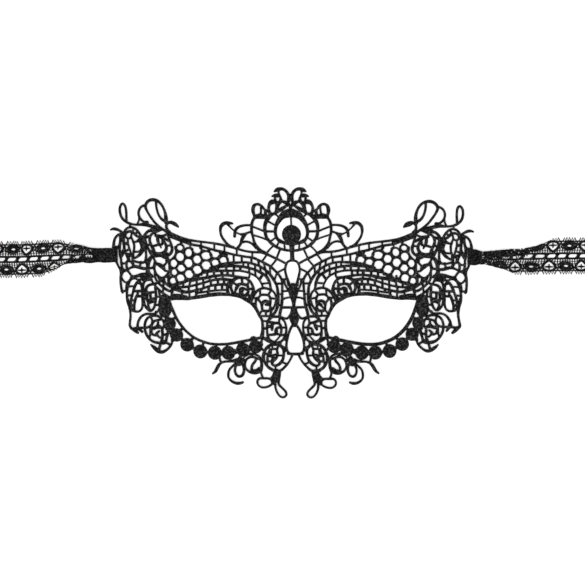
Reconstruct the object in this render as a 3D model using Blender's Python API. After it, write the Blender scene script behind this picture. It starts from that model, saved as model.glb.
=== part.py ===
"""A black lace eye mask that lies flat, with a lace ribbon tied on at each side.

The mask is one embroidered openwork piece. Its cords are drawn on a sheet that is 240 units wide, with x
outward from the middle and y up, once for the half on the right and once for what lies on the middle line.
The cords are swept to their widths and joined into one outline with its holes, which is extruded.
Each ribbon is gathered over the mask's side cord, fans out to its full width and ends in a roll.
"""
import math

import bmesh
import bpy
from mathutils import Vector
from mathutils.geometry import delaunay_2d_cdt

# Driving dimensions, in metres
MASK_WIDTH = 0.240
CORD_WIDTH = 0.0014
LACE_THICKNESS = 0.0014
SMALLEST_HOLE = 0.0037
GAP = 0.0003

RIBBON_WIDTH = 0.025
RIBBON_THICKNESS = 0.0010
RIBBON_REACH = 0.2095
ROLL_DIAMETER = 0.024

GATHER_WIDTH = 0.0088
GATHER_LENGTH = 0.012
GATHER_THICKNESS = 0.0034
GATHER_LAP = 0.0036

# The sheet the lace is drawn on: its width in units, and how far the worked lace leans to one side as it rises
SHEET = 240.0
UNIT = MASK_WIDTH / SHEET
LEAN = 0.033

# Widths in sheet units, for the mask at its usual size
CORD = 1.4
RUNG = 1.1
WEIGHT = CORD_WIDTH / CORD / UNIT

# Facets: how far a straight side may stray from the drawn curve
FACET = 0.37 * CORD_WIDTH


def flow(points, closed=False, step=1.0):
    """A flowing line through a few points, as a Catmull-Rom curve."""
    pts = list(points)
    if len(pts) == 2 and not closed:
        return pts
    count = len(pts)
    line = []
    for i in range(count if closed else count - 1):
        a = pts[i]
        b = pts[(i + 1) % count]
        before = pts[i - 1] if closed or i > 0 else (2 * a[0] - b[0], 2 * a[1] - b[1])
        after = pts[(i + 2) % count] if closed or i + 2 < count else (2 * b[0] - a[0], 2 * b[1] - a[1])
        pieces = max(2, int(math.dist(a, b) / step))
        for k in range(pieces):
            t = k / pieces
            line.append(tuple(
                0.5 * (2 * a[j] + (b[j] - before[j]) * t
                       + (2 * before[j] - 5 * a[j] + 4 * b[j] - after[j]) * t ** 2
                       + (3 * a[j] - before[j] - 3 * b[j] + after[j]) * t ** 3)
                for j in (0, 1)))
    line.append(line[0] if closed else pts[-1])
    return line


class Lace:
    """The cords and the filled dots of one drawing."""

    def __init__(self):
        self.cords = []
        self.discs = []

    def cord(self, *points, w=CORD, closed=False):
        """A cord through the points; w is its width, or widths spread evenly along it."""
        self.line(flow(points, closed), w, closed)

    def line(self, points, w=CORD, closed=False):
        self.cords.append((points, w if isinstance(w, tuple) else (w,), closed))

    def rung(self, a, b, w=RUNG):
        """A short straight bar between two cords."""
        self.line([a, b], w)

    def disc(self, centre, radius):
        self.discs.append((centre, radius))

    def ring(self, cx, cy, rx, ry, w=CORD):
        count = max(10, int(2 * math.pi * max(rx, ry) / 1.6))
        turns = [2 * math.pi * i / count for i in range(count + 1)]
        self.line([(cx + rx * math.cos(a), cy + ry * math.sin(a)) for a in turns], w, True)

    def rungs(self, upper, lower, places, lean=0.0, w=RUNG):
        """Bars between two long lines, at the given places across."""
        for x in places:
            top = height_at(upper, x)
            bottom = height_at(lower, x + lean)
            if top is not None and bottom is not None:
                self.rung((x, top), (x + lean, bottom), w)


def height_at(line, x):
    """The y of a long line where it passes x."""
    for a, b in zip(line, line[1:]):
        if min(a[0], b[0]) <= x <= max(a[0], b[0]) and a[0] != b[0]:
            return a[1] + (b[1] - a[1]) * (x - a[0]) / (b[0] - a[0])
    return None


def centre_lace():
    g = Lace()
    g.disc((0, 39.2), 6.1)
    g.cord((0, 45), (0, 51), w=1.0)
    g.cord((0, 34), (0, 31), (0, 28), (0, 22.4), w=(4.5, 3.2, 2.7, 2.7, 2.8))
    g.cord((0, 6.6), (0, 4), (0, 2), (0, 0), (0, -2), (0, -4), (0, -8), (0, -10), (0, -12), (0, -14.5),
           (0, -17), (0, -20.8), w=(5, 7.2, 6.2, 4.8, 3.3, 2.3, 1.9, 2.8, 4.4, 6.6, 5.2, 3.4))
    g.cord((-1.5, 52.9), (1.5, 52.9), w=4.6)
    g.cord((-5, -39.0), (0, -39.4), (5, -39.0), w=1.5)
    return g


def half_lace():
    g = Lace()
    crown(g)
    crown_loops(g)
    shoulder_tendrils(g)
    brow_ladders(g)
    nose_cells(g)
    honeycomb(g)
    eye_rim(g)
    balls(g)
    brow_coil(g)
    inner_coil(g)
    nose_coil(g)
    low_coil(g)
    bottom_loops(g)
    crest(g)
    rose_1(g)
    rose_2(g)
    swirl_3(g)
    coil_4(g)
    coil_5(g)
    side_edge(g)
    rose_6(g)
    return g


def crown(g):
    g.cord((1, 52.9), (4.5, 51.7), (7.7, 49.3), (9.8, 45.8), (10.7, 41.5), (10.4, 38), (9, 35.4),
           (6.8, 33.9), (3.5, 33.2), (0.5, 32.6), w=(4.8, 4.2, 2.8, 2.1, 1.8, 1.5, 1.6, 1.6, 1.6, 1.6))
    g.cord((0, 28.6), (3.5, 28.8), (7.5, 29.8), (11, 31.6), (14, 34.3), (16.3, 37.7), (17.4, 42),
           (17.2, 45.5), (15.8, 49), (13.3, 52), (10.3, 53.4), (7.5, 55.1), (4.5, 56.5), (2.3, 57.9),
           (0, 57.2), w=(1.6, 1.6, 1.6, 1.6, 1.6, 1.6, 1.8, 2.4, 2.2))
    for a, b in (((10.5, 45.2), (15.6, 48)), ((10.9, 40.8), (17.4, 40.9)), ((10.3, 37.9), (14.6, 34.9)),
            ((8.4, 35), (10.4, 31.5)), ((4.6, 33), (4.3, 29)), ((7.5, 50), (10.8, 53.2))):
        g.rung(a, b)
    g.cord((17.4, 40.7), (21, 42.3), (25.8, 44.2), w=RUNG)
    g.cord((16, 35.5), (20, 37.1), (25.4, 38.6), w=RUNG)
    g.cord((12.6, 31.3), (14.5, 29.5), (16.6, 27), w=RUNG)
    g.cord((7.6, 29.8), (9.1, 26.4), (10.4, 23.4), w=1.2)
    g.cord((15.5, 50.9), (18, 51.2), (21, 51.1), (24.2, 50.4), w=(2.0, 2.5, 2.7, 1.8))
    g.cord((24, 50.6), (25.6, 48), (26.3, 44.5), (26.2, 41), (25.4, 37), (24.4, 33.6), (22.6, 30.3),
           (20, 28.2), (16.8, 27), w=(1.5, 1.6, 1.6, 1.6, 1.6, 2.0, 2.8, 2.2, 1.6))


def crown_loops(g):
    g.cord((1, 58.2), (1, 62), (1.2, 65.3), (2.6, 67.9), (5.2, 69.3), (8, 68.9), (10.8, 67.1),
           w=(1.9, 1.8, 1.8, 1.7, 2.0, 2.6, 1.0))
    g.cord((7.6, 68.6), (7.3, 66), (6.2, 63), (4.9, 60.7), (3.3, 59.7), w=1.4)
    g.cord((7, 64.6), (8.8, 65.2), (10.8, 64.9), (12.6, 63.8), w=(1.2, 1.7, 1.9, 0.8))
    g.cord((10.1, 64.6), (10, 62.5), (9.5, 60.8), w=1.1)
    g.cord((6.4, 63.2), (6.8, 61.2), (7.6, 60), w=1.1)
    g.cord((8.2, 60.3), (10, 60.2), (12, 60), (13.8, 58.8), (14.7, 56.4), (14.9, 54), (14, 52),
           w=(1.4, 2.4, 3.4, 2.4, 1.5, 1.4, 1.2))
    g.cord((9.2, 60.3), (9.2, 57.6), (9.9, 54.5), (10.6, 53.2), w=(1.8, 1.9, 1.5))
    g.cord((3, 59.8), (5.5, 59.9), (7.3, 58.6), (8.4, 56.6), (8.8, 54.8), w=(1.6, 1.6, 1.5, 1.6))
    g.cord((14.8, 54.8), (16.7, 55.5), (18, 57.4), (19.9, 58.9), (22.1, 59.2), (24.2, 57.9), (25, 55.5),
           (24.7, 52.8), (23.8, 50.6), w=(1.2, 1.4, 1.5, 1.5, 1.5, 2.3, 2.5, 2.0, 1.6))
    g.cord((19.6, 58.4), (19.5, 56), (19.7, 53.6), (20.2, 51.5), w=1.2)
    g.cord((16.6, 55.2), (16.3, 53), (16.6, 51), w=1.3)


def shoulder_tendrils(g):
    g.cord((26.2, 45.3), (30, 45.4), (33.8, 44.6), (36.4, 42.8), (37.3, 40.3), (37.6, 37.4),
           w=(1.4, 1.4, 1.5, 1.8, 1.9, 1.9))
    g.cord((26.2, 41), (28.8, 40.2), (30.9, 38.8), (32.5, 36), (33.5, 33), (35, 31), (36.5, 29.6),
           w=(1.3, 1.3, 2.6, 2.2, 1.8, 1.6, 1.6))
    g.cord((31.6, 39.2), (33.6, 39.3), (35.3, 40.1), (37, 40.6), w=(2.0, 1.2, 0.9, 0.9))
    g.cord((23.6, 30.2), (25.3, 32.4), (27.6, 34), (30.3, 34.5), (33, 33.8), w=1.4)
    g.cord((37.6, 41.2), (39.5, 43), (41.3, 45.4), w=0.9)
    g.cord((38.3, 46), (40.8, 46.8), (43.7, 46.6), (46.1, 44.7), (46.9, 41.5), (46.2, 38), (44.2, 34.6),
           (41.5, 31.6), w=(0.9, 2.0, 2.2, 1.7, 1.4, 1.4, 1.4, 1.4))


# Long lines of the brow, from the top edge down to the eye
C1 = flow([(83, 41.8), (79, 39.7), (75, 37.9), (70, 36.2), (65, 35.2), (60, 34.5), (55, 33.9),
        (50, 33.2), (45, 32.2), (40, 30.9), (35, 29.5), (30, 28.2), (25, 27.6), (20, 27.4),
        (16.5, 26.2), (12.5, 24.3), (8.5, 22.4), (4.6, 20.3)])
C2 = flow([(80, 38.2), (75, 36.2), (70, 34.4), (66, 33), (60, 32), (55, 30.9), (50, 29.3), (45, 28),
        (40, 26.4), (35, 25.5), (30, 24.7), (26, 24), (22, 22.3), (18.2, 20.4), (15, 18.1), (12, 15.2),
        (9.2, 12.2), (7.3, 9), (7.2, 5), (7.4, 0), (7.6, -5), (8, -9.5), (9, -15.2)])
C3 = flow([(54, 17), (50, 17.8), (46, 19.1), (40, 20.4), (35, 20.8), (30, 20.9), (26, 20), (22, 18.6),
        (18, 16), (15.4, 13.6), (13.7, 11), (12.1, 8), (10.9, 5), (10.4, 0), (10.5, -5), (11.1, -8.6),
        (12.5, -11.6), (14.4, -13.7)])
C4 = flow([(50, 17.4), (44, 18), (38, 18.3), (33, 17.9), (28, 17), (24, 15.8), (20.5, 13.9), (17.6, 12),
        (16.1, 9.5), (15.2, 7), (14.8, 4.4), (14.2, 2.4)])
C5 = flow([(57, 14.9), (50, 15.1), (45, 15.2), (40, 15.1), (35, 15.1), (30, 14.2), (26.5, 12.9),
        (23.5, 11.1), (21.5, 8.5), (20.3, 6), (19.8, 4)])
C6 = flow([(66, 9.6), (62, 10.7), (57, 11.1), (52, 12), (47, 12.5), (42, 12.2), (38, 11.8), (34, 11.3),
        (30.5, 10.4)])
C7 = flow([(78, 5.6), (74, 4.7), (70, 4.9), (66, 5.6), (62, 6.6), (58, 7.7), (54, 8.9), (50, 9.6),
        (46, 9.7), (42, 9.4), (39, 9.4)])
C8 = flow([(79, 3.8), (75, 2.7), (71, 1.5), (67, 1.8), (63, 2.9), (59, 3.9), (55, 5.3), (51, 6.1),
        (47, 6.4), (42, 6.4)])
C9 = flow([(64, 1), (60, 1.3), (56, 1.9), (52, 2.4), (48, 2.7), (43.5, 2.9)])


def brow_ladders(g):
    g.line(C1, (1.9, 2.2, 1.7, 1.4, 1.4, 1.5, 1.4, 1.4, 1.4, 1.7, 1.5, 1.4))
    g.line(C2, (1.9, 2.0, 1.6, 1.4, 1.4, 1.4, 1.4, 1.2, 1.2, 1.2, 1.3))
    g.line(C3, (1.8, 2.4, 2.0, 1.3, 1.4, 1.5, 1.9, 1.6, 1.7, 1.5, 1.3))
    g.line(C4, (1.6, 1.7, 1.5, 1.4, 1.9, 1.3))
    g.line(C5, (1.6, 1.6, 1.4, 1.4, 1.3, 1.2, 1.2))
    g.line(C6, (2.4, 1.8, 1.6, 1.6, 1.8, 1.5, 1.3))
    g.line(C7, (1.8, 1.5, 1.5, 1.4, 1.4, 1.5, 1.8))
    g.line(C8, (2.2, 2.2, 1.8, 1.4, 1.4, 1.6, 2.0))
    g.line(C9, (1.4, 1.4, 1.2, 1.2, 1.2))
    g.rungs(C1, C2, (59.4, 50.8, 44.2, 36.2, 26.1))
    g.rungs(C1, C2, (16.4,), lean=3.6)
    g.rung((10.2, 23.2), (13.9, 18.6), 1.2)
    g.cord((60.5, 31.5), (57, 29.5), (54, 28.9), (51.5, 29), w=1.2)
    g.rungs(C2, C3, (38.6, 33.2, 27), w=1.2)
    g.rung((43.4, 27), (41.4, 20.6), 1.3)
    g.rung((22.2, 22.2), (21.2, 18.2), 1.2)
    g.rung((18.6, 20.6), (17.2, 16), 1.3)
    g.rung((14.6, 17.8), (14.2, 12.6), 1.3)
    g.rung((10.8, 14.2), (12.6, 9.6), 1.5)
    g.rung((7.8, 7), (11.8, 7), 1.2)
    g.rung((7.5, 0), (10.6, 0.2))
    g.rung((7.5, -7), (11, -7.2))
    g.rungs(C3, C4, (32.2, 29, 24.5), w=1.2)
    g.rung((20.9, 17.6), (20.4, 14.4), 1.2)
    g.rung((17.8, 15.8), (16.8, 10.8))
    g.rungs(C4, C5, (48.8, 43.6, 38.4, 34.3, 28.7), w=1.2)
    g.rung((24.8, 16), (24.2, 11.6), 1.2)
    g.rung((19.4, 13.2), (22, 9.8), 1.2)
    g.rung((15.4, 7.4), (20.6, 6.9), 1.2)
    g.rungs(C5, C6, (56, 51.6, 42.7, 39), w=1.2)
    g.rung((46.4, 15), (46.4, 12.4), 2.0)
    g.rung((28.9, 13.8), (29, 10), 1.2)
    g.cord((28.5, 13), (28.9, 11.3), (29.6, 10), w=1.2)
    g.rungs(C6, C7, (46, 50.5, 54.6, 58.8, 63.1, 67.9, 72), w=1.3)
    g.rungs(C7, C8, (45.2, 49.2, 53.8, 58.7, 63.2, 68.4, 74), w=1.3)
    g.rungs(C8, C9, (46.8, 51, 55.4, 60.2), w=1.3)
    g.cord((64, -0.6), (63, 1.2), (63, 2.6), w=1.6)
    g.rung((68.1, 1.4), (68.1, -2), 1.2)
    g.rung((72.9, 2), (73, -2), 1.2)
    g.rung((43.3, 6), (43.3, -0.5), 1.6)
    g.rung((55.8, 1.8), (55.8, -0.5), 1.6)


def nose_cells(g):
    g.cord((0, 22.2), (2.6, 21.6), (4.2, 19.4), (4.9, 16), (4.6, 12.5), (3.8, 9), (3, 6), w=1.4)
    g.rung((4.8, 16.9), (9.8, 14.4), 1.2)
    g.cord((4.3, 10.3), (5.8, 9.7), (7.6, 10.1), w=1.2)
    g.cord((5.6, 9.8), (5.8, 7.5), (4.9, 4.9), (3.4, 2.6), w=1.2)
    g.rung((3, 2.2), (7.2, 2.0), 1.2)
    g.cord((1.8, -2), (4.5, -2.4), (7.4, -3.6), w=1.2)
    g.rung((0.6, -8.9), (7.8, -8.8), 1.2)
    g.cord((2.4, -14.6), (4.6, -15.8), (6.6, -15.8), (9, -15), (14, -14.7), (18, -14.4), (22.4, -14.4),
           w=1.4)
    g.cord((1.2, -20), (2.6, -21.8), (4, -25), (5.1, -28.4), (5.9, -32), (6, -35), (5.4, -37.6),
           (4, -39.1), w=1.4)


NET = ((73.3, 30.4, 2.9, 2.6), (73.3, 24.5, 3.3, 3.5), (73.2, 17, 3.2, 3.1), (73.6, 10.4, 3.3, 3.3),
       (67.6, 27.3, 2.9, 3.2), (68.4, 20.4, 3.2, 3.5), (68, 13.5, 3.4, 3.4), (62.6, 29, 3.4, 2.9),
       (62.5, 22.7, 3.3, 3.3), (62.6, 16, 3.7, 3.4), (56.7, 25.2, 3.7, 3.2), (56.4, 18.7, 3.5, 3.5),
       (50.8, 26, 3.0, 2.8), (50.8, 20.4, 3.0, 2.7), (45.3, 22.3, 3.0, 2.9), (77.8, 20.2, 2.9, 3.3),
       (78.4, 14.4, 2.9, 2.9), (78.7, 8.7, 2.7, 2.9))


def honeycomb(g):
    for x, y, rx, ry in NET:
        g.ring(x, y, rx, ry, w=1.5)
    # Fillings between the round cells and the long lines
    g.rung((66.8, 32.8), (66, 29.6), 1.2)
    g.rung((72.5, 34.6), (72.2, 32.4), 1.6)
    g.cord((76.4, 31.2), (76.3, 29.8), (75.9, 28), (76.7, 25.4), (78.8, 23), w=1.3)
    g.cord((54.8, 30), (53.4, 28), (52.8, 24.6), w=1.2)
    g.cord((46, 25.6), (44.6, 26), (43, 25.4), w=2.4)
    g.cord((58.6, 14.4), (55.6, 14.9), (53, 16.3), (50, 17.2), w=2.0)
    g.cord((65.6, 10.2), (63, 11.6), (60.5, 13.4), w=(2.4, 2.6, 1.4))
    g.cord((74.5, 7.2), (71.5, 8), (68, 9.6), w=(2.4, 2.0, 2.0))
    g.cord((75.2, 7.3), (77, 6.2), (80, 6), w=(2.4, 2.4, 1.6))
    g.disc((60, 13.2), 1.0)
    g.disc((47.5, 24.6), 1.2)


def eye_rim(g):
    g.cord((31.5, -3.6), (34, -2.1), (37, -1.1), (42, -0.3), (47, 0.0), (52, -0.3), (57, -0.9),
           (62, -1.7), (66, -2.3), (70, -2.7), (76, -2.4), (82, -2.6), w=(1.8, 1.7, 1.7, 2.0, 2.2, 2.2,
           2.4, 2.0, 2.3, 2.6, 3.0))
    g.cord((31.5, -3.6), (28.3, -5.6), (25.9, -8.7), (24.2, -11.8), (23.2, -14.2), (21.6, -16),
           (20.9, -19), (21, -24), (21.7, -27.4), w=(1.8, 2.0, 1.7, 1.7, 1.7, 1.6, 1.6, 1.8, 2.4))
    g.cord((21.9, -28.2), (26, -29.2), (31, -30.2), (37, -31.3), (42, -32.2), (47, -32.7), (52, -32.7),
           (56.5, -32.1), (60.5, -30.8), (64, -29.4), (68, -26.8), (72.6, -22.4), (76.6, -16.6),
           (79.5, -10), (81.2, -5), (81.7, -2.6), w=(1.8, 1.6, 1.6, 1.8))


def balls(g):
    g.cord((84.5, -2.5), (84.6, -7), (84.9, -11), w=(6.6, 8.2, 7.6))
    for x, y, r in ((84.8, -11.4, 3.9), (82, -19.2, 3.9), (77.3, -26.7, 4.1), (70.7, -33, 4.3),
            (62.2, -37.4, 4.4), (52.8, -38.4, 4.4), (44.3, -38.5, 4.3), (34.7, -36.5, 4.3),
            (25.9, -34.3, 4.2)):
        g.disc((x, y), r)
    for a, b, w in (((78.6, -15.7), (80.5, -16.6), 1.8), ((73.8, -22.8), (75.6, -24), 1.8), ((67, -29),
            (68.2, -30.2), 1.8), ((59.8, -31.5), (60.6, -33.6), 1.6), ((51.5, -32.6), (51.8, -34.6), 1.4
            ), ((44.5, -32.6), (44.5, -34.6), 1.6), ((36.5, -31.4), (36.2, -32.8), 2.6), ((27.3, -29),
            (26.8, -31), 4.4), ((83.4, -15), (83, -16), 4.2), ((79.8, -22.6), (79.2, -23.6), 3.6), (
            (74, -29.4), (73.4, -30.4), 3.0), ((66.6, -35.2), (66.4, -35.4), 2.4), ((57.3, -37.9),
            (57.7, -37.9), 2.0), ((48.2, -38.4), (48.8, -38.4), 3.2), ((39.2, -37.4), (39.8, -37.7), 3.4
            ), ((30, -35.3), (30.4, -35.4), 4.8)):
        g.rung(a, b, w)


def brow_coil(g):
    # Outer ring, opening into the rim below and the brow lines at the right
    g.cord((30.3, 10.2), (27.9, 8.2), (26.5, 5.4), (26, 2.6), (26.3, -0.2), (27.8, -3), (30.3, -4.2),
           w=(1.4, 1.6, 1.6, 1.8, 2.4, 2.2))
    g.cord((30, 10.6), (33.5, 11), (37, 10.4), (39.6, 8.9), (41.3, 6.4), (41.6, 4), (40.8, 2),
           (40.2, 0), w=(1.6, 1.8, 1.8, 2.4, 2.2, 1.6, 1.6, 1.8))
    g.cord((42, 8.4), (43.2, 5.2), (43.4, 2.4), (42.6, 0), w=(1.6, 1.3, 1.4, 1.8))
    # Second ring with its hook
    g.cord((29.6, 7), (29.6, 4), (29.4, 1.8), (30.6, -0.6), (33.6, -2), w=(1.4, 1.6, 1.6, 1.5, 1.3))
    g.cord((29.8, 6.4), (31.4, 7.2), (34, 7.1), (36.4, 6.6), (37.6, 4.4), (38.2, 2.4), (38.6, 0.4),
           w=(1.6, 1.5, 1.5, 1.8, 1.8, 1.4, 1.6))
    g.cord((30.2, 3), (31.8, 3.6), (33.2, 4.6), (34.4, 3.8), (35, 1.8), (34.8, 0.4), (36, -0.6),
           w=(1.2, 1.7, 1.7, 2.4, 1.8, 1.6, 2.0))
    g.cord((32.6, 3.4), (33.6, 2.2), w=2.0)
    g.rung((33.4, 10.8), (33.2, 7.3), 1.2)
    g.rung((28.7, 8.8), (29.9, 6.4), 1.4)
    g.rung((26.6, 3.6), (29.6, 3.4), 1.6)
    g.rung((37.2, 6.8), (39.8, 8.4), 1.4)
    g.cord((31, -1.2), (29.4, -1), (28, -1.4), w=1.4)
    g.cord((29.2, -0.8), (29.2, -3), w=1.2)
    g.cord((31.6, -2), (31.8, -3), w=1.4)
    g.cord((27.3, -2.4), (29, -3.4), w=1.8)


def inner_coil(g):
    g.cord((14.2, 2.6), (17, 3.8), (20, 4.1), (23, 2.8), (25.2, 0.6), (26.8, -2), (27.9, -4.6),
           w=(1.3, 1.4, 1.4, 1.6, 1.8, 1.8))
    g.cord((14.6, 3), (12.8, 1), (11.9, -1.5), (11.7, -4.5), (12, -7), w=(1.3, 1.3, 1.3, 1.3))
    g.cord((11.8, -4.6), (12.3, -7.2), (13.9, -9.8), (15.2, -12.2), (15.6, -14.2),
           w=(1.5, 1.3, 1.3, 1.4))
    # Round middle of the coil
    g.cord((15.4, -4.8), (15.4, -2.6), (16.4, -0.9), (18.6, -0.4), (21, -0.6), (22.8, -2), (23.1, -3.8),
           (21.9, -5.4), (21.4, -8), (21.2, -10.6), (19, -11.2), (16.8, -11), (15.6, -9.4), (15.7, -7),
           (15.4, -4.8), (16.8, -4.8), (18.4, -4.3), (20.1, -4.9), (21.2, -6.8), w=(1.5, 1.5, 1.5, 1.5,
           1.5, 1.5, 1.5, 1.5, 1.6, 1.6))
    g.cord((16, -5.4), (16.6, -6.9), (18.6, -7.3), w=(1.8, 2.2, 1.5))
    g.rung((19.3, -0.6), (19.2, -4.4), 0.8)
    for a, b in (((15.8, -2.2), (12.2, -3)), ((17, -0.5), (14.9, 2.8)), ((21.6, -1), (21.6, 3.6)), (
            (23, -3.4), (26, -2.6)), ((14.8, -9), (13.2, -9.4)), ((15.4, -10.8), (14.6, -12.2)), (
            (18.7, -11), (18.8, -14.4)), ((21.4, -10.8), (23.2, -13.4))):
        g.rung(a, b, 1.2)
    g.cord((24, -2.4), (24.8, -4.6), (25.2, -8), (24, -11.4), w=(1.6, 1.4, 1.2, 1.2))
    g.rung((24.7, -6.8), (27.2, -6.2), 1.6)


def nose_coil(g):
    g.cord((9.4, -15.2), (7.4, -16.6), (6.2, -18.6), (5.7, -21.5), (5.8, -24.6), (6.6, -27.6),
           (8.4, -30), (11, -31.5), (14, -31.2), (16.6, -29.8), (18, -27), (18.4, -23.6), (18.2, -20.2),
           (17.2, -17.6), (15.2, -15.4), (14.6, -14.8), w=(1.4, 1.3, 1.3, 1.3, 1.5, 1.6, 1.6, 1.8, 1.6,
           1.4))
    g.cord((9.2, -26.6), (8.7, -23.6), (9, -20.6), (10.4, -18.9), (13, -18.7), (15.4, -18.4),
           (17.4, -17.9), w=(1.4, 1.5, 1.5, 1.5, 1.6, 1.6))
    g.cord((9.9, -18.8), (9.9, -17), (9.4, -15.4), w=1.3)
    g.cord((14, -18.8), (15, -20.4), (15, -23.6), w=(1.8, 2.0, 1.4))
    g.cord((9, -21.6), (11, -21.8), (12.2, -23.2), (12.3, -25.4), (13.2, -26.4), (15.5, -26.9),
           (17.6, -27), w=(1.3, 1.7, 2.0, 1.7, 1.2, 1.3))
    g.cord((17.6, -21.5), (17.6, -24.5), w=1.2)
    g.cord((9.2, -26.6), (10.6, -26.2), (12.4, -26), w=1.4)
    g.cord((9, -26.6), (10.2, -28.4), (12.8, -30.9), w=1.2)
    g.rung((15.3, -27), (15.3, -30.6))
    g.rung((5.8, -21.8), (9, -21.8), 1.3)
    g.rung((6.3, -26.5), (9.2, -26.8), 1.6)
    g.rung((18.3, -22.4), (21, -22.3), 1.6)
    g.rung((15.8, -18.6), (16.2, -21.4), 1.3)
    g.cord((17.4, -28.6), (19, -29), (21.6, -28.6), w=(1.6, 1.8, 2.4))
    g.cord((5.9, -30), (6.8, -29), (7.6, -29), w=2.0)
    g.cord((21.4, -28.6), (22.4, -31), (21.9, -33.4), w=1.3)


def low_coil(g):
    # Outer thick arc, then the inner ring with its holes
    g.cord((10.4, -33), (13, -32.6), (15.2, -32.9), (17.8, -34.2), (19.8, -36.4), (20.9, -39.4),
           (20.9, -43), (19.8, -46.4), (17.6, -48.8), (14.6, -50), w=(1.6, 2.4, 1.8, 1.8, 1.6, 1.8,
           2.0, 2.2, 1.7))
    g.cord((9.6, -31.4), (9.8, -33.4), (8.2, -35.4), (7.5, -38), (7.8, -41.4), (9, -44.4),
           (11.2, -46.4), (13.8, -47), (15.4, -45.8), (15.2, -43.6), (14.4, -41.8), w=(1.8, 2.0, 1.5,
           1.5, 1.5, 1.5, 1.5, 1.4, 1.4, 2.2, 2.2))
    g.cord((11, -33.8), (12, -36), (11.8, -39), (12.6, -41.4), (14, -43), (15.4, -44),
           w=(1.4, 1.3, 1.4, 1.4, 1.6))
    g.cord((11.4, -35.8), (14, -35.8), (16.4, -36.4), (17.3, -38.6), (18.3, -41), (18.4, -44),
           w=(1.2, 1.3, 1.4, 2.0, 1.6, 1.5))
    g.cord((13.6, -39.8), (15.4, -40.4), (17.6, -40.2), w=(1.4, 1.9, 1.6))
    g.disc((14.8, -41.2), 1.1)
    g.rung((14.6, -36), (14.9, -39), 1.0)
    g.rung((14.9, -33.4), (15, -35.8), 1.0)
    g.rung((17, -35.2), (16.6, -37), 1.3)
    g.rung((18.8, -38.8), (20.4, -39.4), 1.4)
    g.rung((8.2, -40.1), (11.9, -40), 1.2)
    g.rung((12.6, -43.6), (12.8, -46.4), 0.8)
    g.rung((15.8, -43.8), (18, -44), 1.4)
    g.cord((18.6, -44.4), (18.2, -46.4), (16.6, -48.4), (14, -49.6), w=(1.6, 1.6, 1.4, 1.6))
    g.rung((13.4, -46.8), (13.2, -50), 1.2)
    g.cord((1.8, -39.6), (3.3, -42.9), (5.3, -45.9), (7.8, -48.4), (10, -49.8), (13, -50), (16, -49.8),
           w=(1.3, 1.3, 1.4, 1.4, 1.6))
    g.cord((5.2, -45.4), (6.8, -45.3), (8.4, -44.6), w=1.2)
    g.cord((4.6, -39.6), (5.8, -38), (6.6, -35.2), w=1.2)
    g.cord((6.2, -34.4), (7.4, -34.8), (9, -33.6), w=1.3)
    g.cord((14.6, -31.2), (17, -31), (19.4, -29.6), w=(1.4, 1.6, 1.6))
    g.cord((14, -31.4), (15.8, -33), w=2.0)
    g.cord((20.4, -37), (21.2, -36.4), (21.8, -35.6), w=1.4)
    g.cord((21.4, -41.4), (22.2, -43), (22, -45.5), (22.2, -48), (23, -50.4),
           w=(1.0, 1.2, 1.4, 1.4, 1.4))
    g.cord((21, -38), (21.8, -41), w=1.0)


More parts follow.
